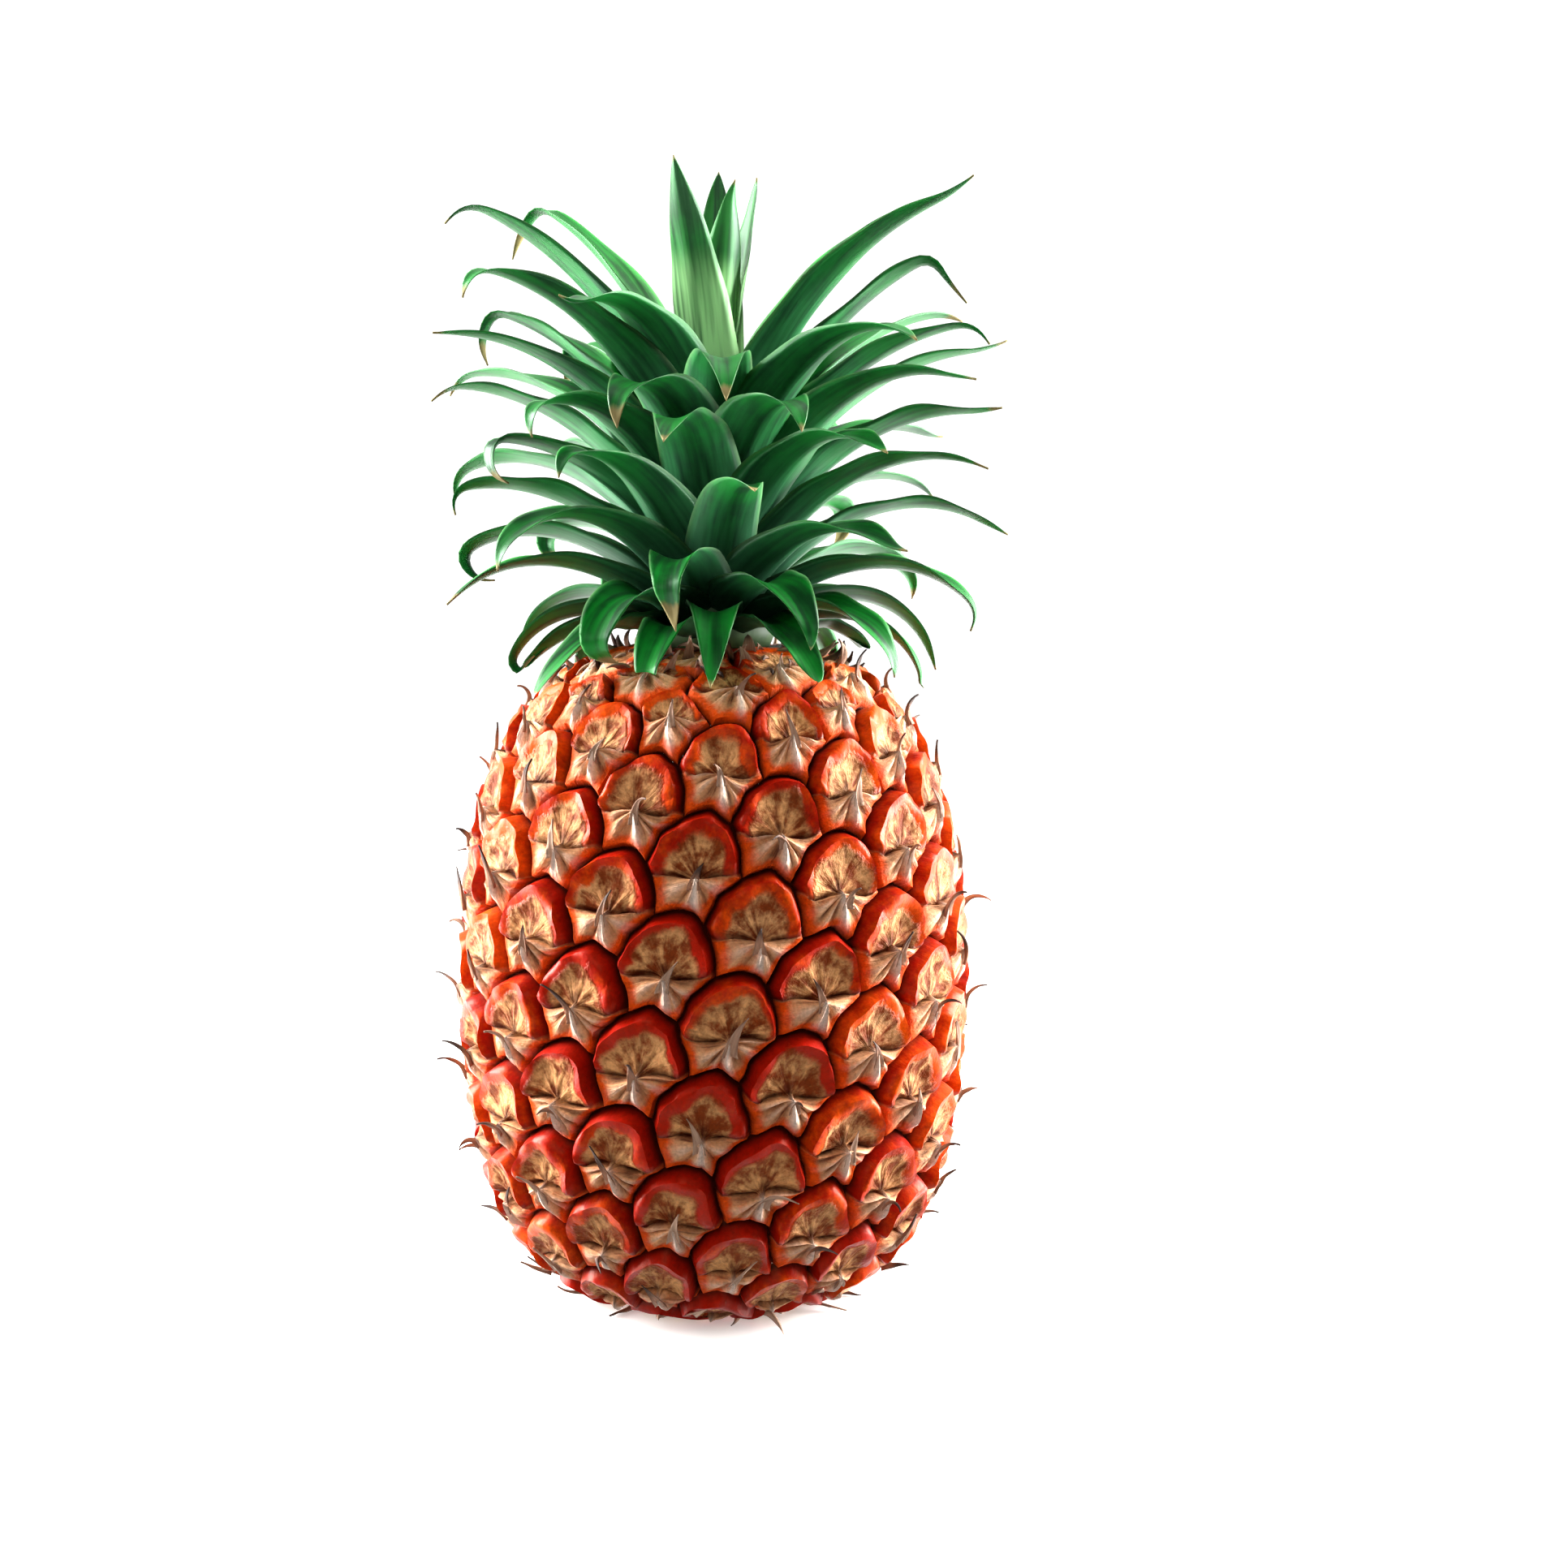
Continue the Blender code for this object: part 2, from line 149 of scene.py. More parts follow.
def eyeTriangles():
    # Neighbouring eyes: the convex hull of the skin mapped to a ball without changing its angles
    radii = bodyPoints[:, 0]
    steps = np.diff(bodyAlong) * 2 / (radii[1:] + radii[:-1])
    stretched = np.concatenate([[0.0], np.cumsum(steps)])
    stretched -= stretched[-1] / 2
    latitudes = 2 * np.arctan(np.exp(np.interp(eyeDistances, bodyAlong, stretched))) - math.pi / 2
    ball = turned(np.cos(latitudes), eyeAzimuths, np.sin(latitudes))
    hull = bmesh.new()
    for place in (*ball, (0.0, 0.0, -1.0), (0.0, 0.0, 1.0)):
        hull.verts.new(place)
    hull.verts.index_update()
    bmesh.ops.convex_hull(hull, input=hull.verts)
    triangles = [[vert.index for vert in face.verts] for face in hull.faces]
    hull.free()
    return triangles


def meshFrom(name, points, faces):
    mesh = bpy.data.meshes.new(name)
    mesh.from_pydata(points.reshape(-1, 3).tolist(), [], faces)
    mesh.shade_smooth()
    return mesh


def addAttribute(mesh, name, values, domain):
    # Three numbers for each vertex; in the corner domain each face corner takes its vertex's
    made = mesh.attributes.new(name, "FLOAT_VECTOR", domain)
    if domain == "CORNER":
        corners = np.empty(len(mesh.loops), dtype=np.int32)
        mesh.loops.foreach_get("vertex_index", corners)
        values = values[corners]
    made.data.foreach_set("vector", np.ascontiguousarray(values, dtype=np.float32).ravel())


def toScene(name, data):
    made = bpy.data.objects.new(name, data)
    bpy.context.scene.collection.objects.link(made)
    return made


def addPiece(name, mesh, materials):
    piece = toScene(name, mesh)
    for material in materials:
        mesh.materials.append(material)
    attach(piece, "root")
    return piece


# Materials

def linear(hexColour):
    # sRGB hex to linear values
    parts = [int(hexColour[i:i + 2], 16) / 255 for i in (1, 3, 5)]
    return (*[c / 12.92 if c <= 0.04045 else ((c + 0.055) / 1.055) ** 2.4 for c in parts], 1.0)


def setInputs(node, values):
    # An input takes a value, a hex colour, a socket, or a node, whose first output in use is linked
    for name, value in values.items():
        if isinstance(value, bpy.types.Node):
            value = next(socket for socket in value.outputs if socket.enabled)
        if isinstance(value, bpy.types.NodeSocket):
            node.id_data.links.new(value, node.inputs[name])
        else:
            node.inputs[name].default_value = linear(value) if isinstance(value, str) else value


def addNode(tree, kind, settings):
    # A setting is one of the node's own properties, or else what an input takes
    made = tree.nodes.new("ShaderNode" + kind)
    own = [name for name in settings if isinstance(name, str) and hasattr(made, name)]
    for name in own:
        setattr(made, name, settings[name])
    setInputs(made, {name: value for name, value in settings.items() if name not in own})
    return made


def newMaterial(name, values):
    # The material, its own addNode and its shader
    material = bpy.data.materials.new(name)
    material.use_nodes = True
    shader = material.node_tree.nodes["Principled BSDF"]
    setInputs(shader, values)
    return material, partial(addNode, material.node_tree), shader


def attributeParts(add, names):
    # The three numbers of each attribute, as sockets
    read = [add("Attribute", {"attribute_name": name}).outputs["Vector"] for name in names]
    return [add("SeparateXYZ", {0: vector}).outputs for vector in read]


eased = {"interpolation_type": "SMOOTHSTEP"}  # a Map Range that starts and ends softly
ofColours = {"data_type": "RGBA"}             # a Mix of two colours

rindColours = {
    "domeRed": "#9A1002",
    "domeOrange": "#DA4C06",
    "dishBrown": "#743010",
    "dishTan": "#D89C64",
    "bractTan": "#D29668",
    "paleTan": "#E0AC80",
    "bractOrange": "#D6480A",
    # colour of the painted shade in the bracts' fold valleys
    "creaseShade": "#4A1C0C",
    # the bract's middle ridge in its own pale colour, also painted as highlights on the folds' crests
    "ridge": "#E4D2C4",
    # colour of the painted shade in the grooves between the eyes, and under the domes' lips
    "groove": "#300804",
    "fineGrain": 0.0009,   # pores of the skin, drawn coarser than life so that they show
    "broadGrain": 0.0045,  # patches of colour about as wide as a dome's band
    "streaks": 3.0,        # wrinkles round the bract's tip, for each radian
}


def rindMaterial():
    # Ripe pineapple rind, grown with a waxy skin: shining red to orange domes round dull brown and tan
    # dishes, and matt papery bracts over grooves that painted shade darkens
    material, add, shader = newMaterial("waxyPineappleRind", {
        "Specular IOR Level": 0.14, "Specular Tint": "#FFB080",
    })
    c = rindColours
    place, zones, tones, marks = attributeParts(add, ("eyePlace", "eyeZones", "eyeTones", "eyeMarks"))
    x, y, chance = place
    domeMask, bractMask, groove = zones
    ripenessAndShade, margin = tones[0], tones[1]
    ridge, pitShade, valleyShade = marks
    where = add("TexCoord", {}).outputs["Object"]
    fine = add("TexNoise", {"Scale": 1 / c["fineGrain"], "Detail": 3.0, "Roughness": 0.6, "Vector": where})
    broad = add("TexNoise", {"Scale": 1 / c["broadGrain"], "Detail": 4.0, "Roughness": 0.65, "Vector": where})

    # Streaks run out from the bract's tip: noise read by direction alone, another for each eye
    flat = add("CombineXYZ", {0: x, 1: y})
    heading = add("VectorMath", {"operation": "NORMALIZE", 0: flat})
    reach = add("VectorMath", {"operation": "LENGTH", 0: flat})
    lane = add("Math", {"operation": "MULTIPLY_ADD", 1: 60.0, 0: chance, 2: reach})
    lift = add("CombineXYZ", {2: lane})
    spread = add("VectorMath", {"operation": "MULTIPLY_ADD", 1: (c["streaks"],) * 3, 0: heading, 2: lift})
    streak = add("TexNoise", {
        "Scale": 1.0, "Detail": 4.0, "Roughness": 0.6, "Distortion": 0.3, "Vector": spread,
    })

    # The dome's inner edge is ragged, so its mask is shifted by both grains before it is sharpened
    shifted = add("Math", {"operation": "MULTIPLY_ADD", 1: 1.3, 0: broad, 2: domeMask})
    ragged = add("Math", {"operation": "MULTIPLY_ADD", 1: 0.9, 0: streak, 2: shifted})
    dome = add("MapRange", {**eased, 1: 1.30, 2: 1.85, 0: ragged})

    # Domes are redder in patches and more orange on riper eyes; painted shade makes them redder at their
    # outer edge than inwards, and partly redder on the front
    toneMottled = add("Math", {"operation": "MULTIPLY_ADD", 1: 1.5, 0: broad, 2: ripenessAndShade})
    orangeShare = add("MapRange", {**eased, 1: 0.60, 2: 1.40, 0: toneMottled})
    domeColour = add("Mix", {**ofColours, 6: c["domeRed"], 7: c["domeOrange"], 0: orangeShare})
    blotches = add("Math", {"operation": "MULTIPLY_ADD", 1: 0.6, 0: streak, 2: broad})
    pale = add("MapRange", {**eased, 1: 0.66, 2: 0.98, 0: blotches})
    # Tan is paler on riper eyes; the painted shade in the ripeness keeps it less pale towards the eye's edge
    # and on the front
    paled = add("MapRange", {**eased, 1: 0.0, 2: 0.8, 3: 0.0, 4: 0.5, 0: ripenessAndShade})
    dishPaper = add("Mix", {**ofColours, 6: c["dishTan"], 7: c["paleTan"], 0: paled})
    dishColour = add("Mix", {**ofColours, 6: c["dishBrown"], 0: pale, 7: dishPaper})
    upper = add("Mix", {**ofColours, 0: dome, 6: dishColour, 7: domeColour})

    # A bract is tan with orange margins and a pale ridge below its tip, with painted highlights on its folds'
    # crests; painted shade darkens its fold valleys in lines that fade outwards
    marginShift = add("Math", {"operation": "MULTIPLY_ADD", 1: 1.2, 0: broad, 2: margin})
    orangeMargin = add("MapRange", {**eased, 1: 0.52, 2: 1.20, 0: marginShift})
    bractPaper = add("Mix", {**ofColours, 6: c["bractTan"], 7: c["paleTan"], 0: paled})
    paper = add("Mix", {**ofColours, 7: c["bractOrange"], 0: orangeMargin, 6: bractPaper})
    lines = add("MapRange", {**eased, 1: 0.36, 2: 0.60, 3: 1.0, 4: 0.5, 0: streak})
    foldShade = add("Math", {"operation": "MULTIPLY", 0: lines, 1: valleyShade})
    foldShaded = add("Mix", {**ofColours, 7: c["creaseShade"], 0: foldShade, 6: paper})
    lower = add("Mix", {**ofColours, 7: c["ridge"], 0: ridge, 6: foldShaded})
    skin = add("Mix", {**ofColours, 0: bractMask, 6: upper, 7: lower})
    grains = add("Math", {"operation": "MULTIPLY_ADD", 1: 0.8, 0: streak, 2: fine})
    shade = add("MapRange", {1: 0.6, 2: 1.2, 3: 0.62, 4: 1.25, 0: grains})
    mottled = add("VectorMath", {"operation": "SCALE", 0: skin, "Scale": shade})
    # Painted shade: the grooves, the band under the dome's lip and the pit are darkened to the groove's shade
    # colour
    deep = add("Math", {"operation": "MAXIMUM", 0: groove, 1: pitShade})
    colour = add("Mix", {**ofColours, 7: c["groove"], 0: deep, 6: mottled})

    gloss = add("MapRange", {3: 0.62, 4: 0.36, 0: dome})
    relief = add("Math", {"operation": "MULTIPLY_ADD", 1: 0.25, 0: fine, 2: streak})
    calmed = add("MapRange", {3: 1.0, 4: 0.25, 0: dome})
    height = add("Math", {"operation": "MULTIPLY", 0: relief, 1: calmed})
    bump = add("Bump", {"Strength": 0.9, "Distance": 0.0012, "Height": height})
    setInputs(shader, {"Base Color": colour, "Roughness": gloss, "Normal": bump})
    return material


baseColours = {"cork": "#4A2A18", "paleCork": "#A9764A", "grain": 0.002}


def baseMaterial():
    # Cork that the fruit grew over its trimmed base, dried: mottled brown, rough and dull
    material, add, shader = newMaterial("corkyBase", {"Roughness": 0.85})
    c = baseColours
    where = add("TexCoord", {}).outputs["Object"]
    grain = add("TexNoise", {"Scale": 1 / c["grain"], "Detail": 5.0, "Vector": where})
    colour = add("Mix", {**ofColours, 6: c["cork"], 7: c["paleCork"], 0: grain})
    bump = add("Bump", {"Strength": 0.8, "Distance": 0.001, "Height": grain})
    setInputs(shader, {"Base Color": colour, "Normal": bump})
    return material


# Rind

eyeSettings = {
    "edgeSteps": 8,        # border points along each side of an eye
    "borderWave": 0.00035,  # how far the grooves wander
    "edgeBulge": 0.24,     # how far a side bows up into the eye above, as a share of its length
    "rings": (0.0, 0.08, 0.17, 0.28, 0.40, 0.52, 0.63, 0.74, 0.83, 0.90, 0.96, 1.0),
    "bractLine": -0.15,    # height of the bract's upper edge in the eye, in eye radii
    "bractStep": 2.5,      # degrees taken by the step down from that edge
    "grooveDepth": 0.0036,
    "domeHeight": 0.0013,
    "dishDepth": 0.0010,
    "lipHeight": 0.0007,
    "lipDip": 0.0013,      # how deep the dome tucks in behind the bract's edge
    "ridgeHeight": 0.0011,
    "bractFall": 0.0012,
    "lumpHeight": 0.00050,
    "wrinkleHeight": 0.00070,
    "lineWave": 0.045,     # how far the bract's edge wanders, in eye radii
    "lineArch": 0.09,      # how far it sinks towards its ends
    "domeStart": 0.53,     # where the dome rises from the dish, as a share of the way out
    "ripenessAndShade": 0.40,      # from 0, red, to 1, orange
    "ripenessSpread": 0.6,
    # painted shade: the eye is painted redder towards its edge, where it rolls down into the groove
    "eyeEdgeShade": 0.30,        # how much redder the outer edge of a dome is
    "frontRedAndShade": 0.50,       # how much redder the front is: partly the eyes' own colour, partly painted shade of the dimmer front
    "seed": 5,
}


def eyeCorners(triangles):
    # A corner is the mean azimuth and distance of its three eyes, or lies on the rim beside a pole
    count = len(eyeAzimuths)
    corners, cells = [], [[] for _ in range(count)]
    for number, triangle in enumerate(triangles):
        eyes = [i for i in triangle if i < count]
        near = eyeAzimuths[eyes[0]]
        turned = [near + shortWay(eyeAzimuths[i] - near) for i in eyes]
        distance = np.mean(eyeDistances[eyes])
        if len(eyes) < 3:
            distance = bodyAlong[0] if distance < bodyAlong[-1] / 2 else bodyAlong[-1]
        corners.append((np.mean(turned), distance))
        for i in eyes:
            cells[i].append(number)
    return np.array(corners), cells


def wandered(places):
    # Places on the skin moved by waves of their azimuth and distance, the same wherever they are met again
    a, s = np.radians(places[:, 0]), places[:, 1]
    size = eyeSettings["borderWave"] * between(s, 0.0, 0.012) * between(bodyAlong[-1] - s, 0.0, 0.012)
    moved = places.copy()
    moved[:, 0] += np.degrees(size * np.sin(37 * a + 610.0 * s) / radiusAt(s))
    moved[:, 1] += size * np.sin(29 * a - 830.0 * s)
    return moved


def eyeBorder(eye, corners, cell, triangles):
    # Sides of one eye from corner to corner, each bowed by 1 - |2x - 1|^1.6 towards the higher of its two
    # eyes, the more the steeper that eye stands over the other
    azimuth, s = eyeAzimuths[eye], eyeDistances[eye]
    places = corners[cell].copy()
    places[:, 0] = azimuth + shortWay(places[:, 0] - azimuth)
    turns = np.arctan2(places[:, 1] - s, np.radians(places[:, 0] - azimuth) * radiusAt(s))
    order = np.argsort(turns)
    places, ordered = places[order], [cell[i] for i in order]
    x = np.arange(eyeSettings["edgeSteps"]) / eyeSettings["edgeSteps"]
    sides = []
    ends, others = np.roll(places, -1, axis=0), ordered[1:] + ordered[:1]
    for start, end, one, other in zip(places, ends, ordered, others):
        points = start + x[:, None] * (end - start)
        shared = (set(triangles[one]) & set(triangles[other])) - {eye}
        neighbour = shared.pop()
        if neighbour < len(eyeAzimuths):
            scale = math.radians(1.0) * radiusAt((start[1] + end[1]) / 2)
            turn = shortWay(eyeAzimuths[neighbour] - azimuth)
            step = np.array([turn * scale, eyeDistances[neighbour] - s])
            upwards = step * np.sign(step[1]) * step[1] ** 2 / (step @ step) ** 1.5
            length = np.hypot((end[0] - start[0]) * scale, end[1] - start[1])
            bow = eyeSettings["edgeBulge"] * length * (1.0 - np.abs(2 * x - 1) ** 1.6)
            points += bow[:, None] * upwards / (scale, 1.0)
        sides.append(points)
    return wandered(np.vstack(sides))


def eyeGrid(eye, border, tip):
    # The eye's polar grid round its bract's tip: share t of the way out, turn, and x and y in eye radii.
    # Its columns are evenly turned near the tip and run to the border's own points further out. The
    # bract's edge is the columns at 0 and 180 degrees, and below is 1 on the bract and 0 over it
    e, size = eyeSettings, eyeRadii[eye]
    across = np.radians(border[:, 0] - eyeAzimuths[eye]) * radiusAt(border[:, 1])
    above = border[:, 1] - tip
    angles = np.degrees(np.arctan2(above, across)) % 360.0
    start = int(np.argmin(np.minimum(angles, 360.0 - angles)))
    border, angles = np.roll(border, -start, axis=0), np.roll(angles, -start)
    reach = np.roll(np.hypot(across, above), -start)
    angles = np.degrees(np.unwrap(np.radians(angles)))
    angles -= 360.0 * round(angles[0] / 360.0)
    count = len(angles)
    half = int(np.argmin(np.abs(angles - 180.0)))
    even = np.concatenate([
        [0.0],
        np.linspace(e["bractStep"], 180.0 - e["bractStep"], half - 1),
        np.linspace(180.0, 360.0, count - half, endpoint=False),
    ])
    evenReach = np.interp(
        even, np.append(angles, angles[0] + 360.0), np.append(reach, reach[0]), period=360.0)
    t = np.array(e["rings"])[:, None]
    blend = between(t, 0.62, 1.0)
    turn = np.radians(even + (angles - even) * blend)
    radius = t * (evenReach + (reach - evenReach) * blend)
    below = np.zeros(count)
    below[0] = 1.0
    below[half:] = 1.0
    return border, below, t, turn, radius * np.cos(turn) / size, radius * np.sin(turn) / size


def eyeRelief(below, t, turn, x, y, chance):
    # Heights over the skin for an eye at the belly. Above the bract's edge a dish rises to a dome from the
    # share inner on, with sines for its lumps and a dip behind the edge. Below it the bract falls away from
    # a lip along the edge, with a bell-shaped ridge down its middle and folds that ray out from the tip
    e = eyeSettings
    r = np.hypot(x, y)
    phase = 2 * np.pi * chance[1]
    inner = e["domeStart"] + 0.05 * np.sin(3 * turn + phase) + 0.035 * np.sin(7 * turn - 2 * phase)
    inner = inner + 0.12 * (chance[2] - 0.5)
    dome = -e["dishDepth"] + (e["dishDepth"] + e["domeHeight"]) * between(t, inner - 0.12, inner + 0.30)
    dome = dome - e["lipDip"] * (1.0 - between(y, 0.0, 0.16)) * between(t, 0.0, 0.2)
    dome = dome + 0.35 * e["wrinkleHeight"] * np.cos(11 * turn + phase) * np.exp(-(((r - 0.38) / 0.2) ** 2))
    lumps = np.sin(4.1 * x + phase) * np.sin(5.3 * y + 2.0 * phase)
    dome = dome + e["lumpHeight"] * lumps * between(t, 0.3, 0.7)
    dome = dome + 0.5 * e["lumpHeight"] * np.sin(8 * turn + 3 * phase) * between(t, 0.5, 0.75)
    bract = e["lipHeight"] * (1.0 - between(-y, 0.0, 0.4)) * (1.0 - 0.7 * np.minimum(np.abs(x), 1.0))
    ridge = np.exp(-((x / (0.055 + 0.05 * np.abs(y))) ** 2)) * (1.0 - between(t, 0.60, 1.0))
    bract = bract + e["ridgeHeight"] * ridge
    bract = bract - e["bractFall"] * between(t, 0.35, 1.0)
    folds = np.cos(9 * turn + 1.6 * np.sin(3 * turn + phase) + phase)
    bract = bract + e["wrinkleHeight"] * folds * np.exp(-(((r - 0.40) / 0.27) ** 2))
    return np.where(below > 0.5, bract, dome), inner, ridge, folds


def eyeSurface(eye, border, chance):
    # One eye: its relief, scaled to its size, drops by an S-curve into the groove along its border. The
    # bract's edge wanders by sines of x and sinks by |x|^1.5, and both fade out towards the border
    e = eyeSettings
    azimuth, size = eyeAzimuths[eye], eyeRadii[eye]
    tip = eyeDistances[eye] + e["bractLine"] * size
    border, below, t, turn, x, y = eyeGrid(eye, border, tip)
    relief, inner, ridge, folds = eyeRelief(below, t, turn, x, y, chance)
    raised = relief * (size / bellyEyeRadius * (0.80 + 0.40 * chance[0]))
    depth = e["grooveDepth"] * size / bellyEyeRadius
    depth = depth * between(border[:, 1], bodyAlong[0], 0.008)
    depth = depth * between(bodyAlong[-1] - border[:, 1], 0.0, 0.006)
    drop = np.where(below > 0.5, between(t, 0.90, 1.0), between(t, 0.82, 1.0))
    lift = raised + (-depth - raised) * drop

    phase = 2 * np.pi * chance[1]
    calm = 1.0 - between(t, 0.55, 1.0)
    aside = x + e["lineWave"] * np.sin(3.5 * y - phase) * calm
    upward = y + (e["lineWave"] * np.sin(4.5 * x + phase) - e["lineArch"] * np.abs(x) ** 1.5) * calm
    distance = tip + upward * size
    azimuths = azimuth + np.degrees(aside * size / radiusAt(distance))
    points = skinPoint(azimuths, distance, lift)
    points[..., 2] = np.maximum(points[..., 2], 0.0)

    # What the material reads: masks of the eye's zones, its ripeness with painted shade mixed in, painted
    # shade for its grooves, creases and pit, and its ridges with painted highlights on the folds' crests
    r = np.hypot(x, y)
    rim = between(t, inner, inner + 0.26) * (1.0 - below)
    # Painted shade in the valleys of the bract's folds
    valleyShade = between(-folds, 0.2, 0.9) * np.exp(-(((r - 0.36) / 0.30) ** 2))
    # Painted highlight on the crests of the bract's folds
    crestHighlight = between(folds, 0.2, 1.0) * np.exp(-(((r - 0.38) / 0.26) ** 2))
    # Painted shadow in a band under the dome's lip, along the bract's edge
    creaseShade = (1.0 - below) * (1.0 - between(y, 0.04, 0.17)) * between(r, 0.10, 0.25)
    # Painted shade: the grooves round the eye and the band under the dome's lip are darkened
    paintedShade = np.maximum(np.where(below > 0.5, between(t, 0.94, 0.99), between(t, 0.87, 0.96)), 0.8 * creaseShade)
    margin = below * between(t, 0.55, 1.0)
    # Painted shade: a dark pit in the dish beside the bract's tip, with no hollow in the surface
    pitSide = 0.16 * (chance[1] - 0.5)
    pitShade = np.exp(-(((x - pitSide) / 0.10) ** 2) - ((y - 0.16) / 0.14) ** 2)
    pitShade = 0.9 * (1.0 - below) * pitShade
    # Ripeness, with painted shade mixed in: redder towards the eye's edge, where it rolls into the groove,
    # and redder on the front, partly its own colour and partly painted shade of the dimmer front
    ripenessAndShade = e["ripenessAndShade"] + 0.12 * between(distance, 0.03, 0.17)
    ripenessAndShade = ripenessAndShade + e["ripenessSpread"] * (chance[3] - 0.5) - e["eyeEdgeShade"] * between(t, 0.72, 0.95)
    ripenessAndShade = ripenessAndShade - e["frontRedAndShade"] * max(0.0, math.cos(math.radians(azimuth))) ** 3
    full = np.ones_like(x)
    place = np.stack([x, y, full * chance[2]], axis=-1)
    zones = np.stack([rim * full, below * full, paintedShade * full], axis=-1)
    tones = np.stack([ripenessAndShade * full, margin * full, full * chance[0]], axis=-1)
    marks = np.stack([below * np.maximum(0.85 * ridge, 0.35 * crestHighlight), pitShade * full, below * valleyShade], axis=-1)
    layers = (points, place, zones, tones, marks)
    return [np.concatenate([grid[:1, 0], grid[1:].reshape(-1, 3)]) for grid in layers]


def polarFaces(columns, rings, first):
    # A fan round the first vertex, then bands of quads, all counted from vertex number first
    i = np.arange(columns)
    j = (i + 1) % columns
    fan = np.stack([np.full(columns, first), first + 1 + i, first + 1 + j], axis=1).tolist()
    inner = first + 1 + columns * np.arange(rings - 1)[:, None]
    quads = np.stack([inner + i, inner + columns + i, inner + columns + j, inner + j], axis=-1)
    return fan + quads.reshape(-1, 4).tolist()


def closeRind(bm):
    # Caps the top, and turns the open base into a foot ring round the hollow of the cut stalk
    for height in (bodySettings["topHeight"], 0.0):
        edges = [edge for edge in bm.edges if edge.is_boundary and abs(edge.verts[0].co.z - height) < 0.004]
        cap = bmesh.ops.contextual_create(bm, geom=edges)["faces"][0]
        cap.material_index = 1
        if height == 0.0:
            for radius, rise in ((0.0150, 0.0), (0.0138, 0.0035)):
                cap = bmesh.ops.extrude_discrete_faces(bm, faces=[cap])["faces"][0]
                cap.material_index = 1
                for vert in cap.verts:
                    flat = Vector((vert.co.x, vert.co.y, 0.0)).normalized() * radius
                    vert.co = (flat.x, flat.y, rise)
    for face in bm.faces:
        if face.material_index == 1:
            for edge in face.edges:
                for linked in edge.link_faces:
                    if linked.calc_center_median().z < 1e-4:
                        linked.material_index = 1


def makeRind():
    triangles = eyeTriangles()
    corners, cells = eyeCorners(triangles)
    dice = np.random.default_rng(eyeSettings["seed"])
    grids, faces, count = [], [], 0
    for eye, cell in enumerate(cells):
        border = eyeBorder(eye, corners, cell, triangles)
        grids.append(eyeSurface(eye, border, dice.random(4)))
        faces += polarFaces(len(border), len(eyeSettings["rings"]) - 1, count)
        count += len(grids[-1][0])
    points, *attributes = (np.concatenate(layers) for layers in zip(*grids))
    mesh = meshFrom("rind", points, faces)
    for name, values in zip(("eyePlace", "eyeZones", "eyeTones", "eyeMarks"), attributes):
        addAttribute(mesh, name, values, "CORNER")
    bm = bmesh.new()
    bm.from_mesh(mesh)
    bmesh.ops.remove_doubles(bm, verts=bm.verts, dist=2e-6)
    closeRind(bm)
    bm.to_mesh(mesh)
    bm.free()
    mesh.set_sharp_from_angle(angle=math.radians(65))
    rind = addPiece("rind", mesh, [rindMaterial(), baseMaterial()])
    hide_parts("fruit")
    print("rind made:", len(cells), "eyes,", len(mesh.polygons), "faces")


makeRind()

# Blades: the crown's leaves, the bracts' tips and the dry bracts are all one kind of surface

def bladeShares(stations):
    # Shares of the length, closer together towards the tip: 1 - (1 - u)^1.25
    return 1.0 - (1.0 - np.linspace(0.0, 1.0, stations)) ** 1.25


def bladeMiddle(blades, slopes):
    # The middle line: a step at each slope from forward towards lifted, swaying sideways by share^2
    share = bladeShares(slopes.shape[1])
    step = blades["length"][:, None] * np.diff(share)
    bearing = (slopes[:, :-1] + slopes[:, 1:]) / 2
    zero = np.zeros((len(slopes), 1))
    run = np.concatenate([zero, np.cumsum(np.cos(bearing) * step, axis=1)], axis=1)
    climb = np.concatenate([zero, np.cumsum(np.sin(bearing) * step, axis=1)], axis=1)
    aside = blades["sway"][:, None] * share**2 * blades["length"][:, None]
    moves = zip((run, climb, aside), (blades["forward"], blades["lifted"], blades["sideways"]))
    return blades["root"][:, None, :] + sum(part[..., None] * axis[:, None, :] for part, axis in moves)


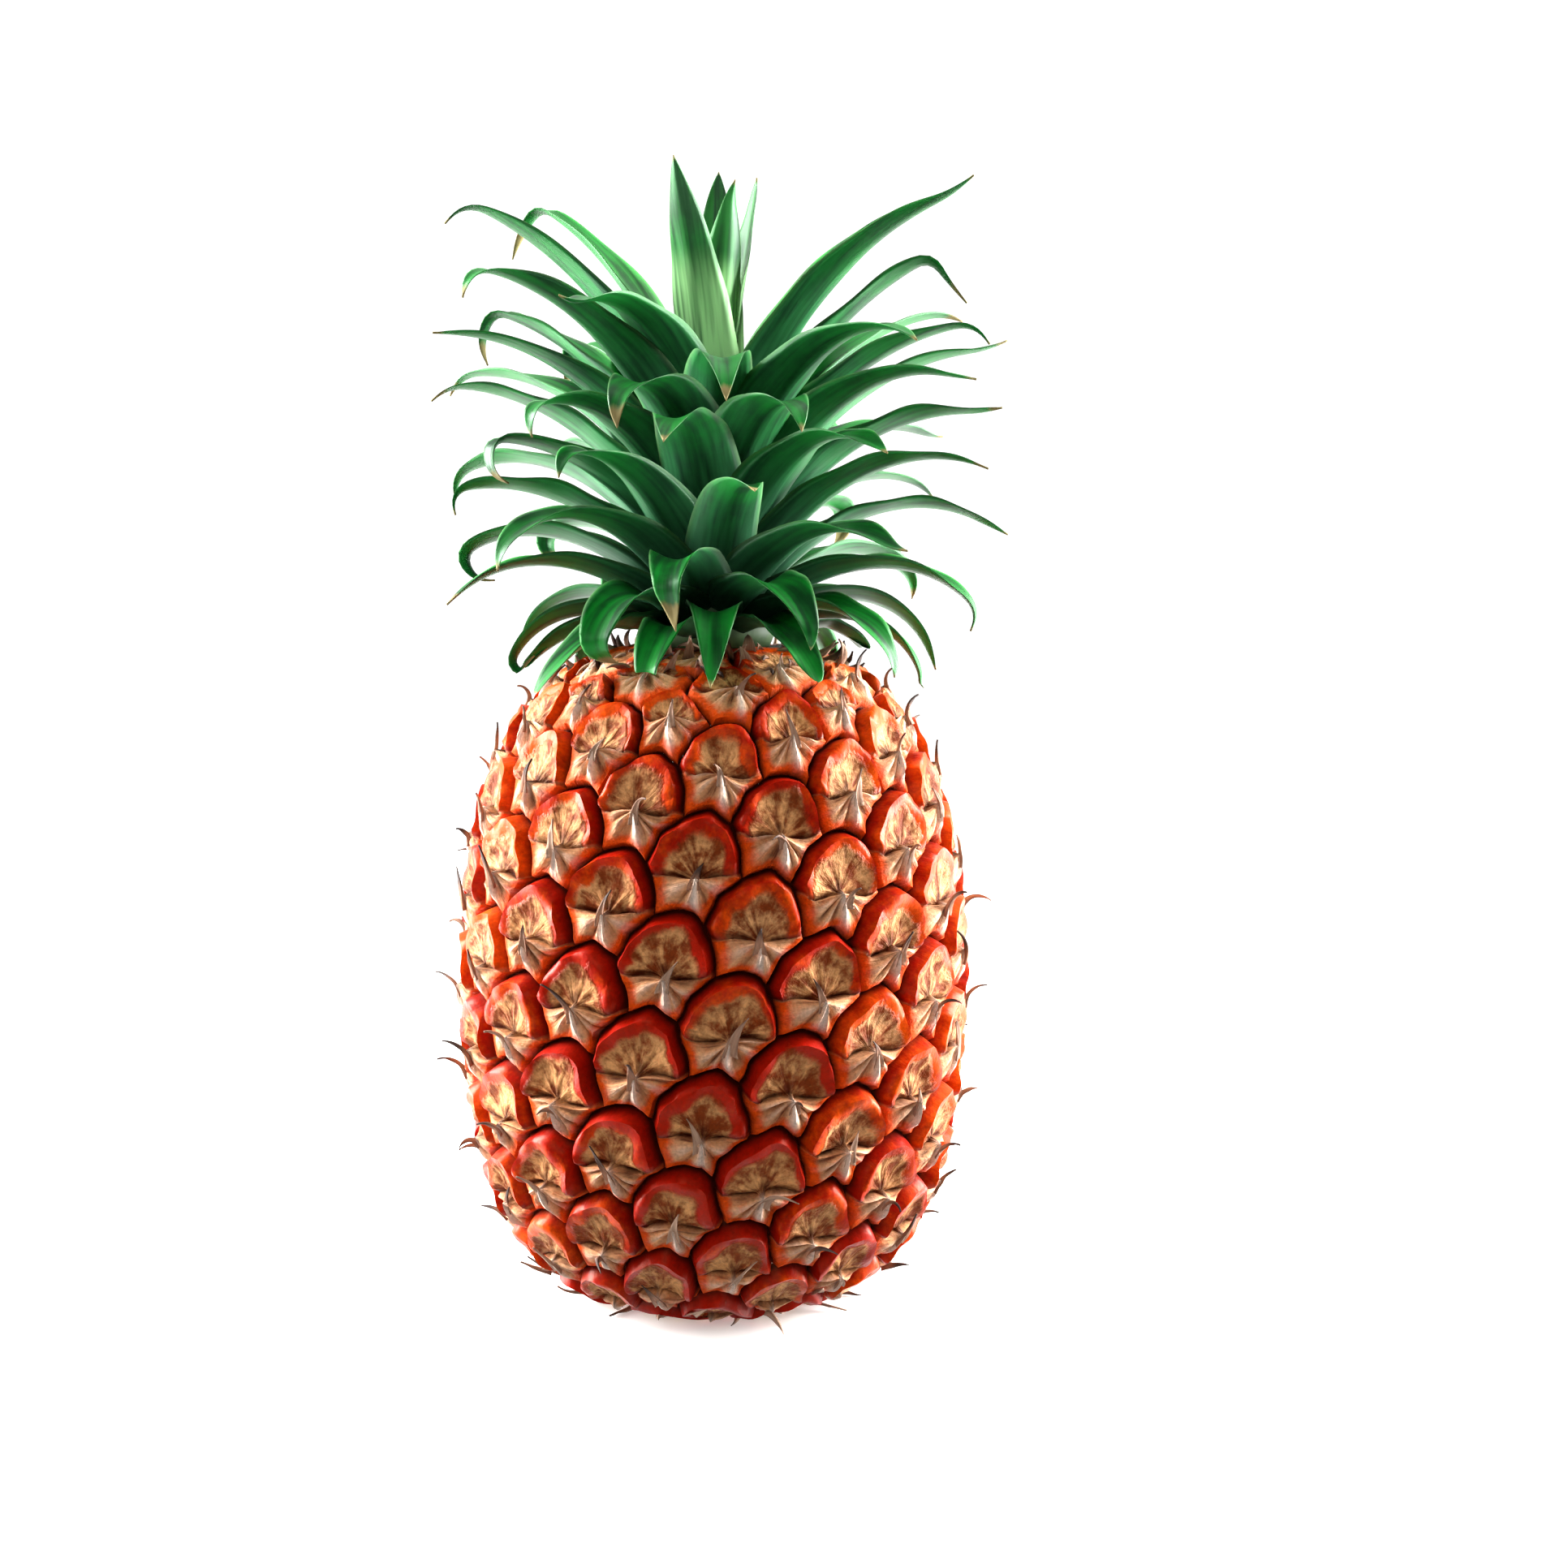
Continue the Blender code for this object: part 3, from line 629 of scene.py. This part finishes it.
def bladeSurface(blades, slopes, middle, halfWidth, channel, thickness, columns):
    # Each section is a channel: half width times v sideways, its edges raised by channel |v|^1.6 half
    # widths. Both faces stand off the middle by thickness (1 - v^2) / 2, so that they meet at the edges
    share = bladeShares(slopes.shape[1])
    roll = blades["twist"][:, None] * share**2
    cos, sin = np.cos(slopes)[..., None], np.sin(slopes)[..., None]
    face = cos * blades["lifted"][:, None, :] - sin * blades["forward"][:, None, :]
    side = np.broadcast_to(blades["sideways"][:, None, :], face.shape)
    across = np.cos(roll)[..., None] * side + np.sin(roll)[..., None] * face
    face = np.cos(roll)[..., None] * face - np.sin(roll)[..., None] * side
    v = np.linspace(-1.0, 1.0, columns)
    v = np.concatenate([v, v[-2:0:-1]])
    top = np.concatenate([np.ones(columns), np.zeros(columns - 2)])
    swell = (top - 0.5) * (1.0 - v**2) * thickness[..., None]
    rise = halfWidth[..., None] * channel[..., None] * np.abs(v) ** 1.6 + swell
    wave = blades["wave"][:, None] * np.sin(
        blades["waves"][:, None] * share + blades["phase"][:, None]) * share
    rise = rise + halfWidth[..., None] * wave[..., None] * v * np.abs(v)
    points = middle[:, :, None, :] + (halfWidth[..., None] * v)[..., None] * across[:, :, None, :]
    points = points + rise[..., None] * face[:, :, None, :]
    grid = np.ones(points.shape[:3])
    place = np.stack([
        halfWidth[..., None] * v * grid,
        share[:, None] * blades["length"][:, None, None] * grid,
        top * grid,
    ], axis=-1)
    level, luck, dryness = (blades[name][:, None, None] for name in ("level", "chance", "dryness"))
    nature = np.stack([share[:, None] * grid, np.abs(v) * grid, level * grid], axis=-1)
    chance = np.stack([luck * grid, dryness * grid, grid], axis=-1)
    return points, place, nature, chance


def bladeFaces(count, stations, around):
    # Bands of quads along every blade, with an n-gon closing its root and its tip
    row = np.arange(count)[:, None, None] * stations * around + np.arange(stations - 1)[:, None] * around
    i = np.arange(around)
    j = (i + 1) % around
    quads = np.stack([row + i, row + j, row + around + j, row + around + i], axis=-1)
    starts = np.arange(count)[:, None] * stations * around
    roots = (starts + i[::-1]).tolist()
    tips = (starts + (stations - 1) * around + i).tolist()
    return quads.reshape(-1, 4).tolist() + roots + tips


def bladeMesh(name, grids, columns):
    points, place, nature, chance = grids
    around = 2 * columns - 2
    mesh = meshFrom(name, points, bladeFaces(points.shape[0], points.shape[1], around))
    for attribute, values in (("bladePlace", place), ("bladeNature", nature), ("bladeChance", chance)):
        addAttribute(mesh, attribute, values.reshape(-1, 3), "POINT")
    return mesh


# Crown

crownSettings = {
    "count": 76,
    "spreads": {  # the most that a leaf differs from its tier, in degrees or as a share
        "azimuth": 6.0, "length": 0.10, "width": 0.08, "rise": 4.0, "droop": 14.0,
        "sway": 0.07, "twist": 22.0,
    },
    "seed": 17,
    "looseSeed": 3,        # of the tips, waves and dryness
    "firstAzimuth": 340.0,
    "divergence": 137.5,
    "droopPower": 1.6,
    "flattenedLevels": (0.45, 0.92),
    "flattenedDroop": 85.0,
    "flattenedRise": 22.0,
    "flattenedShorter": 0.30,
    "heartLevel": 0.945,
    "heartTurn": -42.5,
    "gapAtNeck": 0.0022,
    "gapOverSpines": 0.0078,
    "neckRadius": 0.018,
    "spinesRadius": 0.030,
    "levels": (0.00, 0.18, 0.36, 0.58, 0.78, 0.935, 0.955, 1.00),
    "rootHeights": (0.0025, 0.005, 0.0125, 0.024, 0.039, 0.051, 0.058, 0.062),
    "rootRadii": (0.011, 0.012, 0.011, 0.009, 0.007, 0.0045, 0.003, 0.002),
    "lengths": (0.042, 0.053, 0.067, 0.080, 0.089, 0.086, 0.056, 0.052),
    "widths": (0.013, 0.0165, 0.0175, 0.020, 0.020, 0.0185, 0.0160, 0.0150),
    "rises": (12.0, 28.0, 45.0, 54.0, 59.0, 70.0, 80.0, 84.0),
    "droops": (-120.0, -72.0, -36.0, -14.0, 12.0, 26.0, 80.0, 86.0),
    "foldedShare": 0.22,   # leaves whose tip is folded down, and how sharply, in degrees
    "foldTurn": 75.0,
    "tipCurl": 95.0,
    "curls": (-1.0, 0.5),  # shares of that curl, down and up
    "wave": (0.04, 0.16),  # of the edges, in half widths
    "waves": (12.0, 24.0),
    "stations": 44,
    "columns": 11,
    "rootThickness": 0.0012,
    "tipThickness": 0.0005,
}

leafColours = {
    "deep": "#022C0E",
    "fresh": "#0A7020",
    "bloom": "#549A70",
    "pale": "#B4EEA2",
    "dryLight": "#A39260",
    "dryDark": "#4A3A1E",
    "shadowed": "#011A08",
    "veinSpacing": 0.0016,  # parallel veins, drawn coarser than life so that they show
    "veinLength": 0.030,
    "patches": 0.018,
}


def alongBlade(add, spacing, length, shift, settings):
    # Noise squeezed across the blade and drawn out along it, another for each blade
    place = add("Attribute", {"attribute_name": "bladePlace"}).outputs["Vector"]
    chance = attributeParts(add, ("bladeChance",))[0][0]
    squeezed = add("VectorMath", {"operation": "MULTIPLY", 1: (1 / spacing, 1 / length, 0.0), 0: place})
    moved = add("Math", {"operation": "MULTIPLY", 1: shift, 0: chance})
    apart = add("CombineXYZ", {2: moved})
    lane = add("VectorMath", {"operation": "ADD", 0: squeezed, 1: apart})
    return add("TexNoise", {"Scale": 1.0, **settings, "Vector": lane})


def leafMaterial():
    # Living leaf, grown with a wax: deep green with a soft shine, fine veins along it, a grey-green bloom
    # on the outer face, a pale heart, brown dried tips and painted shade that darkens it towards its root
    material, add, shader = newMaterial("waxyCrownLeaf", {
        "Specular IOR Level": 0.3, "Specular Tint": "#A8E8B8",
    })
    c = leafColours
    place, nature, luck = attributeParts(add, ("bladePlace", "bladeNature", "bladeChance"))
    share, aside, level = nature
    dryness = luck[1]
    veins = alongBlade(add, c["veinSpacing"], c["veinLength"], 50.0, {"Detail": 2.0, "Roughness": 0.5})
    where = add("TexCoord", {}).outputs["Object"]
    patches = add("TexNoise", {"Scale": 1 / c["patches"], "Detail": 4.0, "Roughness": 0.6, "Vector": where})
    tone = add("Math", {"operation": "MULTIPLY_ADD", 1: 1.2, 0: veins, 2: patches})
    toneShare = add("MapRange", {**eased, 1: 0.80, 2: 1.35, 0: tone})
    blade = add("Mix", {**ofColours, 6: c["deep"], 7: c["fresh"], 0: toneShare})
    # Painted shade: every leaf darkens towards its root, into the shadowed colour
    rootShade = add("MapRange", {**eased, 1: 0.05, 2: 0.50, 3: 0.85, 4: 0.0, 0: share})
    green = add("Mix", {**ofColours, 7: c["shadowed"], 0: rootShade, 6: blade})

    # The outer face has a bloom that thins out towards the tip
    outer = add("MapRange", {3: 0.55, 4: 0.0, 0: place[2]})
    thinning = add("MapRange", {**eased, 1: 0.10, 2: 0.75, 3: 1.0, 4: 0.15, 0: share})
    bloomed = add("Math", {"operation": "MULTIPLY", 0: outer, 1: thinning})
    powdery = add("MapRange", {1: 0.35, 2: 0.65, 3: 0.45, 4: 1.0, 0: veins})
    streaky = add("Math", {"operation": "MULTIPLY", 0: bloomed, 1: powdery})
    sided = add("Mix", {**ofColours, 7: c["bloom"], 0: streaky, 6: green})

    # Heart leaves are pale but for their tips, and every blade is paler along its very edge
    heart = add("MapRange", {**eased, 1: 0.93, 2: 0.95, 0: level})
    lowerPart = add("MapRange", {**eased, 1: 0.50, 2: 0.68, 3: 0.95, 4: 0.05, 0: share})
    paleHeart = add("Math", {"operation": "MULTIPLY", 0: heart, 1: lowerPart})
    veined = add("MapRange", {1: 0.35, 2: 0.65, 3: 0.25, 4: 1.0, 0: veins})
    paleVeins = add("Math", {"operation": "MULTIPLY", 0: paleHeart, 1: veined})
    rim = add("MapRange", {**eased, 1: 0.90, 2: 1.0, 3: 0.0, 4: 0.15, 0: aside})
    paler = add("Math", {"operation": "MAXIMUM", 0: paleVeins, 1: rim})
    living = add("Mix", {**ofColours, 7: c["pale"], 0: paler, 6: sided})

    # The tip dries from its end down, further on some leaves, with a ragged edge
    ragged = add("Math", {"operation": "MULTIPLY_ADD", 1: 0.05, 0: veins, 2: share})
    fromEnd = add("Math", {"operation": "ADD", 0: ragged, 1: dryness})
    dry = add("MapRange", {**eased, 1: 1.00, 2: 1.03, 0: fromEnd})
    straw = add("Mix", {**ofColours, 6: c["dryDark"], 7: c["dryLight"], 0: patches})
    # Painted shade: the lowest leaves darken further towards their roots
    low = add("MapRange", {**eased, 1: 0.0, 2: 0.7, 3: 0.95, 4: 0.0, 0: level})
    rootward = add("MapRange", {**eased, 1: 0.15, 2: 0.70, 3: 1.0, 4: 0.0, 0: share})
    shaded = add("Math", {"operation": "MULTIPLY", 0: low, 1: rootward})
    darker = add("Mix", {**ofColours, 7: c["shadowed"], 0: shaded, 6: living})
    colour = add("Mix", {**ofColours, 0: dry, 6: darker, 7: straw})
    roughness = add("MapRange", {3: 0.42, 4: 0.75, 0: dry})
    bump = add("Bump", {"Strength": 0.3, "Distance": 0.0004, "Height": veins})
    setInputs(shader, {"Base Color": colour, "Roughness": roughness, "Normal": bump})
    return material


def leafMeasures():
    # Each leaf's measures between the tiers, lowest first, with a seeded spread that fades to the heart
    c = crownSettings
    dice = random.Random(c["seed"])

    def off(name):
        return dice.uniform(-c["spreads"][name], c["spreads"][name])

    names = ("azimuth", "level", "height", "radius", "length", "width", "rise", "droop", "sway", "twist")
    rows = []
    for i in range(c["count"]):
        level = i / (c["count"] - 1)
        loose = min(1.0, 1.6 * (1.0 - level))
        azimuth = c["firstAzimuth"] + c["divergence"] * i + off("azimuth") * loose
        azimuth += c["heartTurn"] * (level > c["heartLevel"])
        facing = abs(math.cos(math.radians(azimuth)))
        flattened = np.interp(level, c["flattenedLevels"], (0.0, 1.0)) * facing**3
        flattened *= level < c["heartLevel"]
        height, radius, length, width, rise, droop = (
            np.interp(level, c["levels"], c[name])
            for name in ("rootHeights", "rootRadii", "lengths", "widths", "rises", "droops")
        )
        length *= (1.0 + off("length")) * (1.0 - c["flattenedShorter"] * flattened)
        width *= 1.0 + off("width")
        rise += off("rise") * loose - c["flattenedRise"] * flattened
        droop += off("droop") * loose - c["flattenedDroop"] * flattened
        sway, twist = off("sway") * loose, off("twist") * loose
        rows.append((azimuth, level, height, radius, length, width, rise, droop, sway, twist))
    return dict(zip(names, np.array(rows).T))


def pushedClear(points, gap):
    # Moves points out along the body's nearest normal until they are gap clear of its skin
    radius = np.hypot(points[..., 0], points[..., 1])
    offsets = np.stack([radius, points[..., 2]], axis=-1)[..., None, :] - bodyPoints
    nearest = np.argmin(np.sum(offsets**2, axis=-1), axis=-1)
    normals = bodyNormals[nearest]
    away = np.take_along_axis(offsets, nearest[..., None, None], axis=-2)[..., 0, :]
    depth = np.maximum(gap(radius) - np.sum(away * normals, axis=-1), 0.0)
    moved = points.copy()
    moved[..., :2] *= (1.0 + depth * normals[..., 0] / radius)[..., None]
    moved[..., 2] += depth * normals[..., 1]
    return moved


def makeLeaves():
    c = crownSettings
    leaf = leafMeasures()
    count = c["count"]
    dice = np.random.default_rng(c["looseSeed"])
    share = bladeShares(c["stations"])
    curl = dice.uniform(*c["curls"], count) * np.where(leaf["level"] < c["heartLevel"], 1.0, 0.25)
    folded = (dice.random(count) < c["foldedShare"]) & (leaf["level"] < c["heartLevel"])
    slopes = leaf["rise"][:, None] + (leaf["droop"] - leaf["rise"])[:, None] * share ** c["droopPower"]
    slopes = slopes + c["tipCurl"] * curl[:, None] * between(share, 0.86, 1.0)
    slopes = np.radians(slopes - c["foldTurn"] * folded[:, None] * between(share, 0.80, 0.88))
    leaf.update({
        "root": turned(leaf["radius"], leaf["azimuth"], bodySettings["topHeight"] + leaf["height"]),
        "forward": turned(1.0, leaf["azimuth"], 0.0),
        "lifted": np.tile((0.0, 0.0, 1.0), (count, 1)),
        "sideways": sidewaysAt(leaf["azimuth"]),
        "twist": np.radians(leaf["twist"]),
        "wave": dice.uniform(*c["wave"], count),
        "waves": dice.uniform(*c["waves"], count),
        "phase": dice.uniform(0.0, 6.28, count),
        "chance": dice.random(count),
        "dryness": 0.005 + 0.05 * dice.random(count) ** 3 + 0.05 * folded,
    })
    middle = bladeMiddle(leaf, slopes)
    middle = pushedClear(middle, lambda r: np.interp(
        r, (c["neckRadius"], c["spinesRadius"]), (c["gapAtNeck"], c["gapOverSpines"])))
    halfWidth = 0.5 * leaf["width"][:, None] * (1.0 - share) ** 0.85 * (1.0 + 0.9 * share)
    halfWidth = np.maximum(halfWidth, 0.00012)
    thickness = c["rootThickness"] + (c["tipThickness"] - c["rootThickness"]) * share
    channel, thickness = (np.broadcast_to(x, halfWidth.shape) for x in (0.62 - 0.34 * share, thickness))
    grids = bladeSurface(leaf, slopes, middle, halfWidth, channel, thickness, c["columns"])
    mesh = bladeMesh("crown_leaves", grids, c["columns"])
    leaves = addPiece("crown_leaves", mesh, [leafMaterial()])
    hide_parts("crown")
    print("crown leaves made:", count)


makeLeaves()

# Bract tips and dry bracts

bractSettings = {
    "stations": 12,
    "columns": 5,
    "slopes": (-0.75, 0.93),   # eyes whose outward normal leans further up or down than this have no tip
    "rootDrop": 0.25,          # in eye radii, as are the next two
    "length": (0.28, 0.70),
    "halfWidth": 0.13,
    "seed": 8,
}

bractColours = {
    "root": "#BC9C84",
    "rustyRoot": "#A4562A",
    "fibre": "#6A4028",
    "tip": "#2E1A10",
    "fibreSpacing": 0.0005,  # drawn coarser than life so that they show
    "fibreLength": 0.006,
}


def bractMaterial():
    # Bract, grown green and dried on the fruit: papery and dull, grey-pink to rusty, brown at its tip
    material, add, shader = newMaterial("dryPaperyBract", {"Roughness": 0.7, "Specular IOR Level": 0.3})
    c = bractColours
    nature, luck = attributeParts(add, ("bladeNature", "bladeChance"))
    fibres = alongBlade(add, c["fibreSpacing"], c["fibreLength"], 40.0, {"Detail": 3.0})
    root = add("Mix", {**ofColours, 6: c["root"], 7: c["rustyRoot"], 0: luck[1]})
    paper = add("Mix", {**ofColours, 6: c["fibre"], 0: fibres, 7: root})
    age = add("Math", {"operation": "ADD", 0: nature[0], 1: luck[1]})
    browned = add("MapRange", {**eased, 1: 0.75, 2: 1.25, 0: age})
    colour = add("Mix", {**ofColours, 7: c["tip"], 0: browned, 6: paper})
    bump = add("Bump", {"Strength": 0.6, "Distance": 0.0003, "Height": fibres})
    setInputs(shader, {"Base Color": colour, "Normal": bump})
    return material


def dryBlades(azimuths, distances, lift, start, end, length, halfWidth, sway, dice, dryness):
    # Small blades standing on the skin: they leave it at slope start, measured from up the fruit
    # towards outward, and turn to slope end; width (1 - share)^0.8
    count = len(azimuths)
    stations, columns = bractSettings["stations"], bractSettings["columns"]
    share = bladeShares(stations)
    outward = outwardAt(azimuths, distances)
    sideways = sidewaysAt(azimuths)
    blades = {
        "root": skinPoint(azimuths, distances, np.full(count, lift)),
        "forward": np.cross(outward, sideways),
        "lifted": outward,
        "sideways": sideways,
        "length": length,
        "sway": sway,
        "twist": dice.uniform(-1.2, 1.2, count),
        "wave": dice.uniform(0.1, 0.4, count),
        "waves": dice.uniform(5.0, 14.0, count),
        "phase": dice.uniform(0.0, 6.28, count),
        "level": np.zeros(count),
        "chance": dice.random(count),
        "dryness": dryness,
    }
    slopes = start[:, None] + (end - start)[:, None] * share**1.4
    middle = bladeMiddle(blades, slopes)
    middle[..., 2] = np.maximum(middle[..., 2], 0.0006)
    width = np.maximum(halfWidth[:, None] * (1.0 - share) ** 0.8, 0.00015)
    grids = bladeSurface(
        blades, slopes, middle, width, np.full(width.shape, 0.8), np.full(width.shape, 0.0005), columns)
    grids[0][..., 2] = np.maximum(grids[0][..., 2], 0.0002)
    return grids


def makeBractTips(material):
    # The tip of every eye's bract rises from the middle of the bract's edge and curls
    b = bractSettings
    dice = np.random.default_rng(b["seed"])
    lean = outwardAt(eyeAzimuths, eyeDistances)[:, 2]
    kept = (lean > b["slopes"][0]) & (lean < b["slopes"][1])
    size = eyeRadii[kept]
    count = len(size)
    grids = dryBlades(
        eyeAzimuths[kept],
        eyeDistances[kept] + (eyeSettings["bractLine"] - b["rootDrop"]) * size,
        0.0003,
        np.radians(dice.uniform(5, 30, count)),
        np.radians(dice.uniform(-50, 150, count)),
        (b["rootDrop"] + dice.uniform(*b["length"], count)) * size,
        b["halfWidth"] * size * dice.uniform(0.8, 1.25, count),
        dice.uniform(-0.7, 0.7, count),
        dice,
        dice.uniform(-0.15, 0.65, count),
    )
    addPiece("bract_tips", bladeMesh("bract_tips", grids, b["columns"]), [material])
    print("bract tips made:", count)


collarSettings = {           # dry bracts under the crown
    "count": 84, "turned": 20.0, "rows": 4, "rowStep": 0.0045, "spread": 0.003, "start": (120, 175),
    "end": (20, 250), "length": (0.004, 0.009), "halfWidth": (0.0016, 0.0034), "dryness": (-0.2, 0.9),
    "seed": 21,              # of these and of the ones round the foot
}
baseSettings = {             # long dry bracts round the foot
    "count": 20, "turned": -60.0, "rows": 1, "rowStep": 0.0, "spread": 0.028, "start": (5, 30),
    "end": (-25, 40), "length": (0.007, 0.014), "halfWidth": (0.0010, 0.0020), "dryness": (-0.3, 0.3),
}


def scattered(c, edge, inwards, dice):
    # Blades at golden angles, in rows from the outline's distance edge, each with its own measures
    count = c["count"]
    steps = (np.arange(count) % c["rows"]) * c["rowStep"] + dice.uniform(0.0, c["spread"], count)
    return dryBlades(
        137.5 * np.arange(count) + c["turned"],
        edge + inwards * steps,
        -0.001,
        np.radians(dice.uniform(*c["start"], count)),
        np.radians(dice.uniform(*c["end"], count)),
        dice.uniform(*c["length"], count),
        dice.uniform(*c["halfWidth"], count),
        dice.uniform(-0.6, 0.6, count),
        dice,
        dice.uniform(*c["dryness"], count),
    )


def makeDryBracts(material):
    dice = np.random.default_rng(collarSettings["seed"])
    collar = scattered(collarSettings, bodyAlong[-1] - 0.0005, -1.0, dice)
    foot = scattered(baseSettings, 0.003, 1.0, dice)
    grids = [np.concatenate(pair) for pair in zip(collar, foot)]
    addPiece("dry_bracts", bladeMesh("dry_bracts", grids, bractSettings["columns"]), [material])
    print("dry bracts made:", len(grids[0]))


dryBract = bractMaterial()
makeBractTips(dryBract)
makeDryBracts(dryBract)

# Crown stem and cut stalk

stemSettings = {
    "rings": (  # radius, height over the fruit's top
        (0.0140, 0.0003), (0.0155, 0.004), (0.0145, 0.018), (0.0100, 0.045), (0.0050, 0.068),
    ),
    "sides": 48,
    "green": "#16341B",
    "paleGreen": "#5B7A4A",
    "grain": 0.004,
}

stalkSettings = {"fibre": "#8A6238", "pith": "#D8BC84", "fibreSpacing": 0.0011}


def stemMaterial():
    # Leaf bases pressed together, living: blotched dull green
    material, add, shader = newMaterial("paleLeafBases", {"Roughness": 0.6})
    c = stemSettings
    where = add("TexCoord", {}).outputs["Object"]
    grain = add("TexNoise", {"Scale": 1 / c["grain"], "Detail": 3.0, "Vector": where})
    setInputs(shader, {"Base Color": add("Mix", {**ofColours, 6: c["green"], 7: c["paleGreen"], 0: grain})})
    return material


def makeStem():
    # The stem that the leaves grow from: its rings turned round the axis, closed by an n-gon at each end
    r, z = (column[:, None] for column in np.array(stemSettings["rings"]).T)
    a = np.linspace(0.0, 2 * np.pi, stemSettings["sides"], endpoint=False)
    rings = np.stack([r * np.cos(a), r * np.sin(a), z + bodySettings["topHeight"] + 0 * a], axis=-1)
    mesh = meshFrom("crown_stem", rings, bladeFaces(1, len(r), len(a)))
    addPiece("crown_stem", mesh, [stemMaterial()])
    print("crown stem made")


def dressStalk():
    # Woody stalk, cut across with a knife and dried: straw-coloured, matt, dotted with its fibres' ends
    material, add, shader = newMaterial("cutFibrousStalk", {"Roughness": 0.85})
    c = stalkSettings
    where = add("TexCoord", {}).outputs["Object"]
    fibres = add("TexVoronoi", {"Scale": 1 / c["fibreSpacing"], "Vector": where})
    colour = add("Mix", {**ofColours, 6: c["fibre"], 7: c["pith"], 0: fibres})
    bump = add("Bump", {"Strength": 0.7, "Distance": 0.0004, "Height": fibres})
    setInputs(shader, {"Base Color": colour, "Normal": bump})
    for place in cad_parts["cut_stalk"].material_slots:
        place.material = material
    print("cut stalk dressed")


makeStem()
dressStalk()

# Floor, light and camera

stageSettings = {
    "floorRadius": 6.0,
    "floorColour": "#FAFAF8",
    "floorGlow": 0.3,              # keeps the floor white where little light falls on it
    "targetHeight": 0.1148,
    "distance": 0.4704,
    "elevation": 7.1,
    "focalPixels": 2294.7,
    "imagePixels": 1932,
    "axisPixel": (878.9, 1029.7),  # where the target stands in the photo
    "frontGlow": 0.29,
    "backGlow": 1.25,
    "glowRange": (-0.55, 0.35),    # how far back a direction points where the glow starts and stops rising
    "softboxes": {                 # azimuth, elevation, distance, width, height, watts
        "left": (-104.0, 4.0, 0.9, 0.4, 1.4, 92.0),
        "right": (104.0, 4.0, 0.9, 0.4, 1.4, 92.0),
        "top": (-15.0, 32.0, 0.9, 0.5, 0.5, 3.0),
    },
}


def directionFrom(azimuth, elevation):
    # The unit vector from the fruit towards this azimuth and elevation
    a, e = math.radians(azimuth), math.radians(elevation)
    return Vector((math.sin(a) * math.cos(e), -math.cos(a) * math.cos(e), math.sin(e)))


def makeStage():
    c = stageSettings
    a = np.linspace(0.0, 2 * np.pi, 96, endpoint=False)
    rim = np.stack([c["floorRadius"] * np.cos(a), c["floorRadius"] * np.sin(a), 0 * a], axis=-1)
    floor = toScene("floor", meshFrom("floor", rim, [list(range(96))]))
    # White paper: flat and nearly without shine
    floor.data.materials.append(newMaterial("matteFloor", {
        "Base Color": c["floorColour"], "Roughness": 0.9, "Specular IOR Level": 0.1,
        "Emission Color": c["floorColour"], "Emission Strength": c["floorGlow"],
    })[0])
    floor.visible_diffuse = False  # a floor in shade throws no light up at the fruit
    world = bpy.data.worlds.new("studio")
    bpy.context.scene.world = world
    world.use_nodes = True
    # White all round, dimmer from the side that the front faces, as in a studio with its lights at the back
    add = partial(addNode, world.node_tree)
    direction = add("TexCoord", {}).outputs["Generated"]
    backwards = add("SeparateXYZ", {0: direction}).outputs[1]
    low, high = c["glowRange"]
    glow = add("MapRange", {**eased, 1: low, 2: high, 3: c["frontGlow"], 4: c["backGlow"], 0: backwards})
    setInputs(world.node_tree.nodes["Background"], {"Color": "#FFFFFF", "Strength": glow})
    bpy.context.scene.view_settings.view_transform = "Standard"
    target = Vector((0.0, 0.0, c["targetHeight"]))
    for name, (azimuth, elevation, distance, width, height, watts) in c["softboxes"].items():
        light = bpy.data.lights.new(name, "AREA")
        light.shape = "RECTANGLE"
        light.size, light.size_y, light.energy = width, height, watts
        lamp = toScene(name, light)
        away = directionFrom(azimuth, elevation)
        lamp.location = target + away * distance
        lamp.rotation_euler = away.to_track_quat("Z", "Y").to_euler()


def makeCamera():
    c = stageSettings
    camera = bpy.data.cameras.new("camera")
    camera.sensor_width = 36.0
    camera.lens = c["focalPixels"] / c["imagePixels"] * camera.sensor_width
    camera.shift_x = 0.5 - c["axisPixel"][0] / c["imagePixels"]
    camera.shift_y = c["axisPixel"][1] / c["imagePixels"] - 0.5
    away = directionFrom(0.0, c["elevation"])
    holder = toScene("camera", camera)
    holder.location = Vector((0.0, 0.0, c["targetHeight"])) + away * c["distance"]
    holder.rotation_euler = away.to_track_quat("Z", "Y").to_euler()
    camera.clip_start = 0.01
    bpy.context.scene.camera = holder


makeStage()
makeCamera()
print("stage made")
